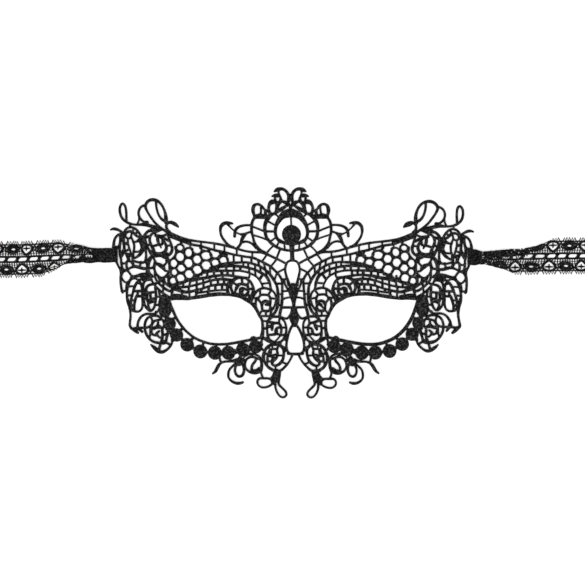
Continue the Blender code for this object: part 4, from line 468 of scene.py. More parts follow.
def inner_coil(lace):
    lace.cord((14.2, 2.6), (17, 3.7), (20, 4), (23, 2.7), (25.2, 0.6), (26.8, -2), (27.9, -4.6),
              w=(1.3, 1.6, 1.6, 1.7, 1.9, 1.8))
    lace.cord((14.4, 3), (12.5, 1), (11.6, -1.5), (11.4, -4.5), (11.7, -7), w=(1.3, 1.3, 1.3, 1.3))
    lace.cord((11.6, -4.6), (12.4, -7.2), (14.1, -9.8), (15.3, -12.2), (15.6, -14.2),
              w=(1.5, 1.3, 1.3, 1.4))
    # Round middle of the coil
    lace.cord((15.2, -4.8), (15.2, -2.6), (16.3, -0.8), (18.6, -0.3), (21, -0.4), (22.7, -1.8),
              (22.9, -3.7), (21.6, -5.4), (20.9, -8), (20.6, -10.4), (18.8, -11), (16.8, -10.9),
              (15.5, -9.3), (15.6, -7), (15.2, -4.8), (16.8, -4.9), (18.2, -4.4), (19.9, -5), (21, -6.8),
              w=(1.5, 1.5, 1.5, 1.4, 1.4, 1.6, 1.9, 1.7, 1.6, 2, 2))
    lace.cord((16, -5.6), (16.8, -6.6), (18.6, -6.8), w=(1.8, 2.2, 1.4))
    lace.bars(((15.8, -2.2), (12.2, -3), 1.3), ((16.6, -0.5), (14.4, 2.8), 1.3),
              ((21.8, -1), (21.8, 3.6), 1.3), ((23, -3.2), (26, -2.4), 1.3),
              ((14.8, -9), (13.2, -9.4), 1.3), ((15.4, -10.8), (14.8, -12.2), 1.3),
              ((18.5, -11), (18.5, -14.4), 1.3), ((21.2, -11), (23, -13.4), 1.3))
    lace.cord((24, -2.2), (24.8, -4.6), (24.9, -8), (23.4, -11.6), w=(1.6, 1.5, 1.4, 1.4))
    lace.rung((24.7, -6.6), (27.2, -6), 1.5)


print("coils beside the eye:", count_cords(brow_coil, inner_coil), "cords")

# %% [markdown]
# The other two coils wind below, beside the tip of the nose. The upper one is mostly a ring here: the curl
# inside it is different on each side, so it is added later.

# %% Draw the two coils beside the nose
def nose_coil(lace):
    lace.cord((9.4, -15.2), (7.4, -16.6), (6.1, -18.6), (5.5, -21.5), (5.6, -24.6), (6.5, -27.7),
              (8.3, -30.2), (11, -31.6), (14, -31.3), (16.6, -29.9), (17.8, -27), (18, -23.6), (18, -20.2),
              (17.3, -17.4), (15.4, -15.4), (14.6, -14.8),
              w=(1.4, 1.3, 1.4, 1.5, 1.5, 1.5, 1.6, 1.9, 1.9, 1.6, 1.4, 1.3, 1.9, 2))
    lace.cord((9.9, -18.8), (9.9, -17), (9.4, -15.4), w=1.3)
    lace.cord((17.8, -20.8), (17.9, -24.5), w=1.2)
    lace.cord((9.2, -26.6), (10.6, -26.2), (12.4, -25.9), w=1.5)
    lace.cord((9.2, -26.6), (10.6, -28.4), (13, -30.9), w=1.1)
    lace.bars(((5.8, -21.8), (9, -21.8), 1.3), ((6.3, -26.5), (9.2, -26.8), 1.6),
              ((18.1, -22.4), (21, -22.3), 1.6), ((17.6, -17.6), (20.6, -17.5), 1.2))
    lace.cord((17.4, -28.6), (19, -29), (21.6, -28.6), w=(1.6, 1.9, 2.4))
    lace.cord((5.8, -30), (6.8, -29), (7.4, -29), w=2)
    lace.cord((21.2, -28.6), (22, -31), (21.7, -33.4), w=1.5)


def low_coil(lace):
    # Outer thick arc, then the inner ring with its holes
    lace.cord((10.4, -33), (13, -32.6), (15.2, -32.9), (17.8, -34.2), (19.7, -36.4), (20.7, -39.4),
              (20.7, -43), (19.3, -46.2), (17, -48.5), (14.4, -49.7),
              w=(1.6, 2.4, 1.9, 1.9, 1.7, 1.7, 1.7, 1.9, 1.7))
    lace.cord((9.6, -31.4), (9.8, -33.4), (8.2, -35.4), (7.6, -38), (8, -41.4), (9.3, -44.2), (11.4, -46.1),
              (13.8, -46.7), (15.4, -45.7), (15.2, -43.6), (14.4, -41.8),
              w=(1.8, 2, 1.5, 1.6, 1.8, 1.9, 1.9, 1.7, 1.5, 2.2, 2.2))
    lace.cord((11, -33.8), (12, -36), (11.7, -39), (12.5, -41.4), (13.9, -43), (15.4, -44),
              w=(1.5, 1.5, 1.7, 1.8, 1.8))
    lace.cord((11.4, -35.8), (14, -35.8), (16.4, -36.4), (17.3, -38.6), (18.3, -41), (18.4, -44),
              w=(1.2, 1.3, 1.4, 2, 1.6, 1.5))
    lace.cord((12.4, -39.3), (14, -39.6), (15.6, -40.4), (17.6, -40.2), w=(1.2, 1.3, 1.9, 1.6))
    lace.disc((14.8, -41.2), 1.1)
    lace.bars(((16, -36.2), (16.2, -38.8), 1.7), ((14.9, -33.4), (15, -35.8), 1),
              ((17, -35.2), (16.6, -37), 1.3), ((18.8, -38.8), (20.4, -39.4), 1.4),
              ((8.2, -40.1), (11.9, -40), 1.2), ((15.8, -43.8), (18, -44), 1.4))
    lace.cord((18.9, -44.4), (18.6, -46.6), (17, -48.6), (14.2, -49.8), w=(1.4, 1.2, 1.2, 1.6))
    lace.rung((13.4, -46.8), (13.2, -50), 1.2)
    lace.cord((1.9, -39.4), (3.5, -42.8), (5.5, -45.7), (7.9, -48.2), (10.1, -49.9), (13, -50.2),
              (15.8, -49.6), w=(1.4, 1.3, 1.4, 1.6, 1.9, 1.6))
    lace.cord((5.2, -45.4), (6.8, -45.3), (8.4, -44.6), w=1.2)
    lace.cord((6.8, -37.6), (6.7, -34.8), w=1.1)
    lace.cord((6.2, -34.4), (7.4, -34.8), (9, -33.6), w=1.3)
    lace.cord((14.6, -31.2), (17, -31), (19.4, -29.6), w=(1.4, 1.6, 1.6))
    lace.cord((14, -31.4), (15.8, -33), w=2)
    lace.cord((20.4, -37), (21.2, -36.4), (21.8, -35.6), w=1.4)
    lace.cord((21.4, -41.4), (22.2, -43), (22.1, -45.5), (22.3, -48), (22.8, -50.4),
              w=(1, 1.3, 1.6, 1.8, 1.5))
    lace.cord((21, -38), (21.8, -41), w=1)


print("coils beside the nose:", count_cords(nose_coil, low_coil), "cords")

# %% [markdown]
# Along the lower edge runs a fringe of loops. A loop starts and ends on the edge, and its two ends run on
# into the cords there, as one thread would.

# %% Draw the lower loops
def bottom_loops(lace):
    # Dark stem with its two hanging loops
    lace.cord((10.5, -50), (10.8, -53), (11.7, -57.4), w=(1.4, 1.6, 1.6))
    lace.cord((12.4, -50), (12.7, -53), (13.2, -57), w=(3.2, 3.6, 2.4))
    lace.cord((14, -50.4), (15, -53.4), (16.6, -55.2), w=(1.4, 1.8, 1.6))
    lace.cord((14.4, -53), (15.2, -56), (15.2, -58.8), w=(2, 2.6, 1.4))
    lace.cord((11.6, -56.8), (11.5, -59), (9.3, -61.4), (7.2, -63.7), (6.8, -65.8), (8.3, -67.3),
              (10.5, -67.1), (12.5, -64.8), (13.7, -61.5), (13.9, -57.5),
              w=(1.6, 1.5, 1.4, 1.4, 1.4, 1.3, 1.3, 1.4, 1.5, 1.7))
    lace.cord((15.8, -58.2), (16.1, -56.2), (18, -55.1), (21, -55), (24, -55.1), (25.5, -56.8),
              (25.1, -59.2), (23.1, -60.8), (20.5, -60.9), (17.9, -60.1), (15.6, -58.5), w=(1.6, 1.4, 1.3))
    lace.cord((23, -50.6), (22.5, -52.8), (21.4, -55), w=1.3)
    # Small swirl ring with its bar
    lace.cord((22.8, -42.6), (25, -42.1), (27, -41.2), (29.4, -41), (31.9, -42.3), (33.2, -44.8),
              (33.2, -47.6), (31.5, -50), (29, -51.2), (26, -51.3), (23.4, -50.2), (22.6, -47.6),
              (22.4, -44.6), (23.4, -41.2), (25.2, -39.8), (27.6, -39),
              w=(1.4, 1.6, 1.6, 1.5, 1.5, 1.4, 1.5, 2.1, 2.2, 1.8, 1.8, 1.7, 1.4, 1.3))
    lace.cord((25.8, -42.2), (26.6, -44), (28.3, -46), (29, -48.4), (28.8, -51), w=(1.8, 1.7, 1.7, 1.8))
    lace.cord((24, -48.2), (26, -49.6), (28.6, -49.9), w=1.6)
    lace.cord((28.6, -39), (29, -41), w=2.2)
    lace.cord((27.6, -39), (29.4, -38.7), (30.6, -38.8), w=1.2)
    lace.cord((29.8, -39.2), (31.6, -39.9), (33.6, -41.2), (34.8, -43), w=(0.9, 0.8, 1))
    # Dark knot with a loop, a crescent and a leaf
    lace.cord((36, -40.6), (36.6, -43), (37.4, -45.3), w=(2, 4.2, 4.4))
    lace.cord((33.4, -43.4), (34.4, -43), (36, -42.8), w=2.2)
    lace.cord((35.2, -45), (34.1, -48), (34.2, -51), (35.4, -53.2), (37.6, -53.8), (39.3, -52.4),
              (40, -49.7), (39.3, -47), (38, -45), w=(1.7, 1.6, 1.7, 1.7, 1.6, 1.5, 1.6))
    lace.cord((39.5, -45.2), (41.5, -47.1), (43.6, -49.4), (44.4, -52.2), (44.1, -54.9), (42.1, -57),
              (39.2, -58.2), (36.6, -58.1), (34.8, -57.5), w=(1.2, 1.4, 1.4, 1.5, 1.5, 1.5, 1.7, 2, 1.3))
    lace.cord((38.4, -43.7), (43, -43.9), (47, -44.2), (49.9, -45.7), (51.8, -48.8), (52.9, -50.6),
              (54.6, -51.9), w=(2, 1.5, 1.4, 1.4, 2.1, 2.1, 1.1))
    lace.cord((38.6, -42.6), (40.8, -43.4), (43.4, -43.6), w=(1.8, 1.6, 1.6))
    lace.cord((49.6, -41.8), (49.4, -43.4), (48.6, -44.4), w=1.4)


print("lower loops:", count_cords(bottom_loops), "cords")

# %% [markdown]
# A tall crest of leaves stands at the outer end of the brow. A leaf is a long loop with a vein inside it that
# starts at the same point.

# %% Draw the crest
def crest(lace):
    lace.cord((73.9, 44.1), (75.7, 45.7), (78.5, 47.1), (80.8, 46.7), (81.8, 44.8), (81.2, 42.4),
              (79.4, 40.8), w=(1.2, 2.4, 2.3, 1.8, 1.6, 1.6, 1.4))
    lace.cord((82, 46.6), (81.8, 49.4), (82.2, 53.1), (83.7, 57.4), (86.2, 60.6), (89.4, 61.9),
              (92.3, 61.5), (94.3, 59.7), (95, 57.4), (94, 54.4), (92, 50.9), (89.6, 47.5), (87.2, 45),
              (84.8, 43), (82, 41.2),
              w=(2, 2.4, 1.7, 1.4, 1.6, 2, 2.1, 2, 1.7, 1.4, 1.4, 1.4, 1.4, 1.6, 1.6))
    lace.cord((88, 61.4), (87.9, 57.6), (87.1, 53.6), (85.9, 50.8), (84.2, 48.8), (82.2, 47.8),
              w=(1.4, 1.4, 1.4, 1.4, 1.6, 1.8))
    lace.cord((95.4, 58.2), (97.3, 57.6), (99, 55.7), (99.7, 53), (99.1, 50.4), (97.8, 48.6), (95.6, 47),
              w=(1.6, 1.6, 1.6, 1.5, 1.5, 1.4, 1.4))
    lace.cord((99.3, 51.4), (99.6, 48.4), (100.7, 46), w=1.2)
    lace.cord((86, 43.2), (89.6, 44.2), (93, 45), (96, 45.8), (100, 45.5), (104, 45.9), (107.4, 47.1),
              (110.5, 49.8), (111.8, 53.6), (111.6, 57.4), (110, 59.5), (108.3, 57.8), (107.7, 54),
              (107.7, 50.4), (107.8, 47.2),
              w=(1.6, 2, 2.2, 2.6, 1.4, 1.3, 1.7, 1.7, 1.6, 1.6, 1.5, 1.5, 1.5, 1.5, 1.5))
    lace.cord((94, 47), (95.8, 46.8), w=2.4)
    lace.rung((105.5, 46), (105.5, 44), 1.2)
    lace.cord((109.8, 38.8), (110.7, 40.4), (112.8, 41.9), (115.2, 42.8), (117.2, 42.7), (118.3, 42.2),
              w=(2, 1.6, 1.5, 2, 1.8, 1))
    lace.cord((111.6, 39.4), (113.7, 38.7), (115.5, 36.8), (116.5, 33.6), (116.8, 30.4),
              w=(2, 1.5, 1.5, 1.7, 2))
    lace.cord((112.2, 38.8), (112.2, 36), (112.8, 32.6), (114, 31), (116, 31), w=(1.6, 1.4, 1.3, 1.4, 2))
    # Filled corner under the crest
    lace.cord((85, 42.4), (88, 42.8), (91.4, 42.2), w=(1.8, 3.2, 2.8))


print("crest:", count_cords(crest), "cords")

# %% [markdown]
# The temple is a bunch of roses and swirls. A rose is a ring inside a ring, with petals of thread between the
# two, and the outer rings lean on each other so that the bunch holds together. The cords outside the second
# rose are the ones that the ribbon is sewn to.

# %% Draw the two roses
def crest_rose(lace):
    lace.cord((91, 41.8), (93.6, 41.4), (96, 38.9), (97, 36.2), w=(2.2, 1.8, 1.9, 1.6))
    lace.cord((81.9, 41), (81, 38.8), (80.1, 36.2), (79.2, 33.4), (78.6, 31), (78.5, 28.8), (79.6, 26.6),
              (81.6, 25.2), w=(1.3, 1.3, 1.3, 1.4, 1.8, 1.9, 1.9, 1.6))
    lace.cord((80.6, 35), (82.4, 36.2), (84.3, 37.2), w=1.7)
    lace.cord((88.9, 39.6), (90.6, 39.9), (92.3, 38.4), (93, 35.4), (92.2, 32.6), (90.7, 29.4),
              (90.2, 27.4), (88.4, 26.5), (85.4, 26.7), (83, 28.2), (82.1, 31), (83, 33.6), (84.8, 36.6),
              (88, 38.4), w=(1.4, 1.6, 1.8, 1.8, 1.8, 2, 2.2, 2.3, 2.2, 2, 1.8, 1.6, 1.6, 1.6))
    lace.rung((79.4, 31.9), (82.4, 31.9), 1.3)
    lace.cord((82, 39.1), (84.6, 38.2), (87.6, 38.6), (89.2, 38.2), w=(1.4, 1.5, 1.3, 1.5))
    lace.cord((84.4, 37.2), (84.6, 34.4), (84.7, 32.8), (87.6, 32.4), (91.4, 31.4),
              w=(1.5, 1.6, 1.5, 1.6, 1.4))
    lace.cord((87.7, 38.4), (87.7, 35.6), (87, 33), (86, 31.4), (85.6, 30.4), w=(1.7, 2.2, 1.9, 1.5, 0.9))
    lace.cord((82.2, 25), (86, 25.1), (90.2, 24.8), (92.4, 23.8), w=(1.7, 1.6, 1.6, 1.6))
    lace.bars(((84.9, 26.2), (85, 24.8), 1.8), ((81.4, 26.9), (83.2, 25.9), 1.3))
    lace.cord((92, 28.8), (91.1, 27.4), (90.7, 25.8), w=1.2)
    lace.cord((93, 24.5), (94.1, 22.6), (94.8, 20.6), w=(1.2, 1.5, 0.9))
    lace.cord((96.6, 36.8), (95.6, 33.6), (94.3, 30.4), (92.9, 27.6), (91.6, 25.2),
              w=(2.6, 2.1, 1.6, 1.8, 2))
    lace.cord((92.6, 38), (95.4, 37.4), w=1.9)
    lace.cord((92.8, 32.4), (94.8, 32.4), w=1.4)
    lace.cord((85.6, 42), (87.6, 41.2), (90, 40.8), w=(1.2, 1.4, 2.2))


def side_rose(lace):
    # The dark spine between the two roses
    lace.cord((97.2, 37.4), (97, 34.6), (96.6, 31.6), (96.2, 28.6), w=(3, 3.6, 3.2, 1.4))
    lace.cord((98, 36), (98.4, 33), (98, 30), w=(2.2, 2.2, 1.6))
    lace.cord((95.8, 30.6), (95.6, 26), (95.6, 20), w=1.5)
    # Outer ring
    lace.cord((98.4, 37.6), (99.8, 40.4), (102, 42.8), (105, 44), (107.8, 43), (109.4, 40.6), (110, 37),
              (109.9, 33), (109.6, 29.8), w=(1.6, 1.5, 1.5, 1.5, 1.5, 1.6, 1.8, 1.8, 1.6))
    lace.cord((96.7, 29.8), (98.3, 27.7), (99.8, 25.9), (102.2, 24.1), w=(1.7, 2.1, 2.1, 1.5))
    lace.cord((102.8, 23.5), (103.8, 24.9), (103.8, 27), w=(1.2, 1.1, 1.2))
    lace.cord((96, 24.4), (96.1, 22.4), (97.3, 20.9), (100.4, 20.9), (103.2, 21.6), (104.6, 22.6),
              w=(1.2, 1.5, 1.7, 1.3, 1.4, 1.4))
    # Inner petals
    lace.cord((99, 37.4), (101.3, 38.1), (103.3, 40.2), (105.6, 41.2), (107.8, 40.5), (108.8, 38.4),
              (107.9, 36.9), (106.6, 36.5), (105.2, 37.3), (104.8, 38.9),
              w=(1.6, 1.7, 1.8, 1.8, 1.8, 1.5, 1.4, 1.4, 1.3, 1.3))
    lace.cord((104.4, 40.4), (105, 38), (104.3, 35.8), (103.3, 33), (103.3, 29.6), (104.1, 26.6),
              (104.5, 23.4), (104.5, 20.4), w=(1.2, 1.2, 1.5, 1.5, 1.4, 1.6, 1.6, 1.6))
    lace.cord((107.2, 36.6), (107.2, 33.4), (106.4, 29.8), (105.6, 27), (106.8, 24.6), (106.6, 22.4),
              w=(1.2, 1.4, 1.3, 1.3, 1.2, 1.2))
    lace.cord((98.8, 36.4), (99.6, 35.6), (100.8, 34.9), (102.2, 34.3), (104, 34.3),
              w=(2.4, 2.6, 1.7, 1.4, 1.4))
    lace.cord((99.3, 34.2), (98.4, 31.4), (99.1, 28.8), (100.6, 27.9), (103.2, 27.8),
              w=(1.7, 1.2, 1.2, 1.3, 1.4))
    lace.bars(((105.4, 27), (105.3, 24.8), 1.2), ((103.4, 42.9), (103.9, 40.9), 1.3),
              ((100.6, 41.2), (102, 39.4), 1.5), ((107.2, 34), (109.8, 33), 1.2))
    lace.cord((107.2, 32.6), (109.2, 33), w=1.3)
    lace.cord((106.8, 29.4), (108.4, 28.6), (110, 28.8), w=(1.3, 1.5, 1.6))
    # Right-hand stems that run into the side edge
    lace.cord((110, 38.4), (111.6, 36.6), (112.4, 33), (112.8, 29.6), (112.6, 26), (112, 22.6),
              w=(1.8, 2, 1.6, 1.6, 1.8, 1.4))
    lace.cord((109.8, 32), (110, 29.6), (110.8, 27.6), (112.2, 25), w=(1.4, 1.6, 2.8, 2.7))
    lace.cord((110, 29), (108.8, 26.6), (107.8, 23.8), (107.4, 21.6), w=(1.6, 1.6, 1.4, 1.3))
    lace.cord((106, 26), (108.4, 26.6), w=1.6)
    lace.cord((104.6, 21.6), (106.4, 21.4), (107.6, 22), w=1.2)
    lace.cord((114, 30.6), (115.3, 28), (115.5, 24), (115.2, 20.6), w=(1.2, 1.2, 1.2, 1.2))
    lace.cord((108.1, 21.8), (109.3, 20.4), (111.2, 20.2), (112.2, 22), w=(1.3, 1.3, 1.3))


print("roses:", count_cords(crest_rose, side_rose), "cords")

# %% [markdown]
# Under the roses a cord swirls in on itself, and long curved cords lead down from it to the outer corner of
# the eye.

# %% Draw the swirl of the temple
def temple_swirl(lace):
    lace.cord((82, 25), (81.2, 23), (80.55, 20.6), (80.5, 17.6), (80.8, 15), (82.3, 12.9), (84.6, 11),
              (86.8, 11), (89, 12.9), (90.4, 15.9), (90.4, 18.2), (89, 20), (86.4, 19.7), (84.6, 18.3),
              (83.9, 16.9), w=(1.6, 1.7, 1.8, 1.6, 1.5, 1.4, 1.4, 1.5, 1.4, 1.4, 1.7, 1.6, 1.4, 1.4, 1.5))
    lace.cord((82.6, 22.4), (82.4, 20.8), (83.7, 19.4), (84.4, 18.2), w=(1.5, 1.4, 1.5))
    lace.cord((82.2, 15.2), (83.4, 15.4), (84.3, 16.4), (86, 17.7), (88, 19.5), (89.4, 20.3),
              w=(1.4, 1.6, 1.6, 1.6, 1.6))
    lace.cord((81.8, 24.1), (83.4, 23.9), (85, 24.5), w=(1.8, 1.8, 1.4))
    lace.cord((91.2, 24.6), (90, 22), (88.8, 20.4), w=1.3)
    lace.cord((92.4, 23.6), (93.8, 20.6), (94.3, 17.8), (94.3, 15), (93.6, 12), (92.2, 8.6), (90.2, 5.4),
              (87.4, 2.5), (84.6, 0.2), (81.6, -1.8), w=(1.6, 1.5, 1.5, 1.7, 1.6, 1.2, 1.5, 1.5, 1.5, 1.8))
    lace.cord((90.2, 21.6), (90.8, 18.4), (91.8, 17.3), (93.8, 17.1), w=(1.2, 1.4, 1.7, 1.4))
    lace.cord((79, 1.7), (82, 2.5), (85, 4.5), (87.6, 6.9), (89.6, 9.6), (90.2, 12), (90.4, 15),
              w=(1.9, 1.7, 1.6, 1.5, 1.4, 1.2))
    lace.cord((91.8, 12.2), (93.5, 13.3), (94.1, 15), w=(1.2, 1.8, 1.3))
    lace.cord((78, 4.4), (80.4, 5), (82.6, 6.5), (84.6, 8), (86.8, 9.3), (87.8, 11), (88.2, 12.4),
              w=(1.7, 1.8, 1.7, 1.8, 1.7, 1.5))
    lace.bars(((79.4, 4), (79.6, -0.6), 1.6), ((84.4, 7.4), (85.4, 5), 1.6), ((85, 4.4), (85.5, 1.2), 1.3),
              ((87.3, 8.6), (88, 7), 1.6), ((89, 7.6), (90.8, 6.2), 1.3), ((89.8, 11.5), (92.8, 11.5), 1.3))
    lace.cord((81, 12.4), (81.4, 10), (81.3, 7), w=1.8)
    lace.cord((84.7, 10.8), (84.4, 9), (83.8, 7), w=1.8)
    lace.cord((81.6, 11.6), (83, 11.5), w=1.7)
    lace.cord((75, 7), (78, 5.5), (81, 6.6), w=(1.8, 2.2, 1.6))


print("swirl:", count_cords(temple_swirl), "cords")

# %% [markdown]
# Outside the eye two tall coils stand side by side, so close that their outer turns touch. Each is one long
# cord that winds round, with a second cord inside it and spokes between the two.

# %% Draw the two tall coils
def inner_temple_coil(lace):
    lace.cord((89.4, 7.2), (92, 6.6), (94.8, 5.8), (96.5, 3.2), (96.2, 0.6), (95.9, -2.6), (95.3, -5.6),
              (95.2, -8), (94, -10.4), w=(1.6, 1.6, 1.7, 1.9, 2.8, 1.7, 1.5, 1.5, 1.5))
    lace.cord((92.6, 9.6), (95.2, 9.5), (97.4, 8.2), (98.3, 5.4), (98.4, 2), (98.2, -2), (97.8, -6),
              (96.5, -8.9), (94.4, -10.8), (92.5, -10.1), (91.1, -7.6), (90.4, -4), (90, -1), (90.1, 2.2),
              (90.4, 4.6), w=(2, 1.6, 1.7, 1.7, 1.6, 1.6, 1.5, 1.5, 1.5, 1.5, 1.6, 1.7, 1.8, 1.6, 1.5))
    lace.cord((90, 1.5), (92.4, 1.3), (95, 1), w=1.6)
    lace.cord((90.4, -2.8), (92.4, -3.1), (94, -3.9), (96, -4.4), w=(1.6, 2.1, 2.1, 1.5))
    lace.cord((93.5, 1.4), (93.7, -0.6), (93.5, -3), w=1.7)
    lace.cord((91, -5.1), (93, -5.1), (95.2, -6.3), w=(1.3, 1.5, 1.3))
    lace.cord((88, 2.4), (87.3, -2), (87.3, -6), (88.2, -9.4), (90.3, -12.2), (93.2, -13.1),
              w=(1.6, 1.3, 1.3, 1.3, 1.5))
    lace.bars(((88, -1.6), (90.2, -1.5), 1.3), ((88, -6.8), (91, -7.2), 1.4))
    lace.cord((96.6, -3), (98.2, -2.8), w=1.6)
    lace.rung((96.8, 1.2), (98.3, 1.2), 1.2)
    lace.cord((93.6, 10.8), (96, 10.1), (98, 8.6), w=(1.6, 1.9, 1))


def outer_temple_coil(lace):
    lace.cord((100.7, 9.8), (100.3, 8), (99.3, 6), (98.9, 2), (99, -3), (99, -7), (99.8, -9.8),
              (101.8, -11.3), (104.2, -11.1), (106, -10.2), (108, -7), (109, -2.6), (108.9, 1.6),
              (108.2, 5), (107.1, 8.2), (105.1, 10.4), (102.4, 11.6), (100.4, 12),
              w=(1.4, 1.7, 1.6, 1.6, 1.4, 1.4, 1.4, 1.6, 2, 1.8, 1.5, 1.5, 1.5, 1.4, 1.4, 1.4))
    lace.cord((100.2, 9.2), (102, 7.9), (103.8, 5), (104.7, 2.2), (105.7, -1), (106.5, -4), (106.7, -8),
              w=(1.6, 1.8, 1.8, 1.5, 1.5, 1.5, 1.7))
    lace.cord((99, 2.2), (101.4, 2.1), (103.6, 2.1), (104.8, 2.6), w=1.7)
    lace.cord((99.4, 6.8), (101, 7.3), (102.4, 7.8), w=1.5)
    lace.cord((101.9, 2), (102, 0), (103, -1.7), (103.7, -4), (104.4, -7), (104.6, -10.4),
              w=(1.4, 1.5, 1.8, 1.6, 1.5, 1.7))
    lace.cord((99.2, -1.1), (101.4, -1.3), (103, -1.2), w=1.6)
    lace.cord((104.4, -4), (106.6, -3.9), w=1.3)
    lace.bars(((106, -0.6), (108.6, -0.8), 1.4), ((105, 5.3), (107.8, 5.1), 1.2))
    lace.cord((104.8, -7.6), (106.6, -7), w=1.8)
    lace.rung((106.7, -4.8), (108.8, -5), 1.4)
    lace.cord((100.2, 9.4), (101, 9.2), w=1.4)
    lace.disc((96.8, 11.6), 1.8)
    lace.disc((98.3, 9.5), 0.8)
    lace.cord((94.4, 12.6), (96.4, 12.6), (99.4, 12.6), (102.8, 12), (106, 11.6),
              w=(2.8, 3.2, 2.4, 1.4, 1.4))
    lace.cord((98.6, 10), (99, 12), w=2.4)
    lace.cord((103.6, 11), (105.6, 11.2), w=1.6)
    lace.cord((102, 9.9), (103.4, 10.4), (104.8, 10.2), w=1.2)


print("tall coils:", count_cords(inner_temple_coil, outer_temple_coil), "cords")

# %% [markdown]
# The outermost cord of the mask runs down past the roses and the coils. A leaf, a diamond and small cells
# fill what is left between it and them. A last rose hangs below, at the outer corner of the eye.

# %% Draw the side edge and the low rose
def side_edge(lace):
    # Leaf above the low loops
    lace.cord((94.6, 17.1), (97.4, 16.8), (100, 17.5), (103.2, 18.2), (106.6, 17.1), (108.4, 15.7),
              w=(1.7, 2, 2.2, 1.9, 1.4, 1.4))
    lace.cord((95.2, 16.8), (95.4, 14.4), (95.2, 13), w=1.7)
    lace.cord((104.4, 11.5), (106, 12.6), (107.3, 14.6), (108.4, 15.6), w=1.4)
    # Diamond with the small cells above it
    lace.cord((108.4, 15.7), (110.8, 14.7), (112, 12.6), (112.1, 10.8), (110.5, 8.3), (108.6, 7.8),
              (106.7, 9.6), (105.9, 11.4), w=1.2)
    lace.cord((108.3, 8), (109.2, 5), (109.3, 2.4), w=(1.8, 1.6, 1.3))
    lace.cord((99.8, 17.6), (99.7, 19), (99.2, 21.4), w=1.4)
    lace.cord((104.1, 18.4), (104.4, 20.6), w=(2.2, 1.6))
    lace.cord((95.2, 18), (95.2, 20.4), w=1.3)
    lace.cord((104.4, 19.2), (105.8, 21.4), w=1.3)
    lace.cord((108.2, 16.8), (108.7, 18.6), (108.2, 21.6), w=(1.7, 1.4, 1.4))
    lace.cord((109.6, 15.8), (111, 16.2), (111.7, 18), (112.1, 21.4), w=(1.8, 1.6, 1.4, 1.5))
    lace.cord((115, 21), (114.1, 18.6), (112.8, 16.4), (112.4, 14), (112.7, 11), (112.8, 8), (112.5, 4),
              (111.8, 1.1), w=(1.3, 1.4, 1.7, 1.6, 1.6, 1.6, 1.6, 1.6))
    lace.cord((110.8, 14.9), (112.6, 14.6), w=1.5)
    lace.cord((111.6, 9.8), (112.8, 10), w=1.3)
    lace.rung((109, 2.2), (112.6, 2.1), 1.3)
    # Long side stem with its little hooks
    lace.cord((108.6, -3), (107.9, -7), (107.3, -10.4), (107.1, -14), (107.5, -17.4), (107.9, -20.1),
              w=(1.6, 1.7, 1.7, 1.4, 1.4, 1.5))


def low_rose(lace):
    lace.cord((90.2, -11.2), (91.2, -12.7), (93.6, -12.9), (97, -12.9), (100.2, -14.7), (102.3, -18.2),
              (102.8, -22), w=(1.4, 1.6, 1.5, 1.5, 1.6, 1.6, 1.7))
    lace.cord((87, -15.4), (90, -14), (94, -14.4), (96.7, -16.4), (98, -20), (97.8, -24), (96.4, -27.6),
              (94, -30.2), (91, -31.5), (88, -31.7), (87.4, -30),
              w=(1.8, 1.6, 1.5, 1.6, 1.6, 1.5, 1.7, 1.6, 1.6, 1.8, 1.6))
    lace.cord((93.6, -15.4), (93, -17.4), (93.8, -20), (96, -21.6), (99, -21.9), (103, -22), (105.4, -22.4),
              w=(1.3, 1.3, 1.4, 1.6, 1.5, 1.6, 1.6))
    lace.cord((86.6, -16.4), (89, -16.8), (91.6, -17.5), (93.3, -19.6), (93.8, -22), (93.9, -24.6),
              (93.2, -26.1), (91.6, -26.9), (89.4, -26.9), w=(1.5, 1.5, 1.5, 1.7, 1.8, 1.9, 1.7, 1.4, 1.4))
    lace.cord((89.4, -17), (89.3, -19.4), (90.5, -21.2), (93, -22.4), w=(1.4, 1.6, 1.7, 2))
    lace.cord((88.6, -24), (90.2, -25.3), (91.2, -26.8), w=(1.5, 1.8, 1.6))
    lace.cord((86.4, -22), (88.2, -21.8), (90.6, -21.9), (92.2, -22.8), w=(1.6, 1.6, 1.8, 1.4))
    lace.cord((87.2, -21.6), (89.2, -20), w=1.5)
    lace.cord((86.2, -16.6), (85.3, -19), (85.7, -21.4), (86.7, -23.4), (86.5, -26), (86.8, -29),
              (87.2, -32), w=(1.6, 1.4, 1.4, 1.8, 1.8, 1.7, 1.6))
    lace.cord((82.9, -22.6), (83.1, -25.6), (84, -28.6), (84.5, -31.2), w=1.8)
    lace.cord((82.4, -25), (84.6, -26.3), (86.6, -26.7), w=1.5)
    lace.cord((80.6, -29.6), (80.6, -32), (82.1, -34.4), (84.4, -36.5), (87.2, -37.8), (89.8, -37.1),
              (92, -35.1), (94.5, -32.9), w=(1.5, 1.4, 1.6, 1.7, 2.1, 2.7, 2.4, 0.9))
    lace.cord((81.9, -33), (84, -31.8), (86.6, -32.2), w=(1.6, 1.5, 1.8))
    lace.cord((88, -32.2), (88.7, -34.4), (89.3, -36.4), w=(1.7, 1.6, 2))
    lace.bars(((84.7, -30.5), (87.2, -30.9), 1.6), ((94.6, -22), (94.7, -26), 1.1))
    lace.cord((94, -25.6), (95, -27.4), (95.1, -29.8), w=1.3)
    lace.cord((87.2, -28.4), (88.4, -28.3), (89.6, -27.4), w=1.4)
    lace.rung((84, -22.2), (84, -23), 1.3)
    lace.cord((79.6, -30.6), (80.6, -28), w=1.4)
    lace.cord((84.4, -15.6), (84.2, -17), w=1)


print("side:", count_cords(side_edge, low_rose), "cords")

# %% [markdown]
# What stands on the middle line is drawn once: the crown's disc and stem, and the ridge of the nose. A cord
# that was mirrored there would lie on its own copy.

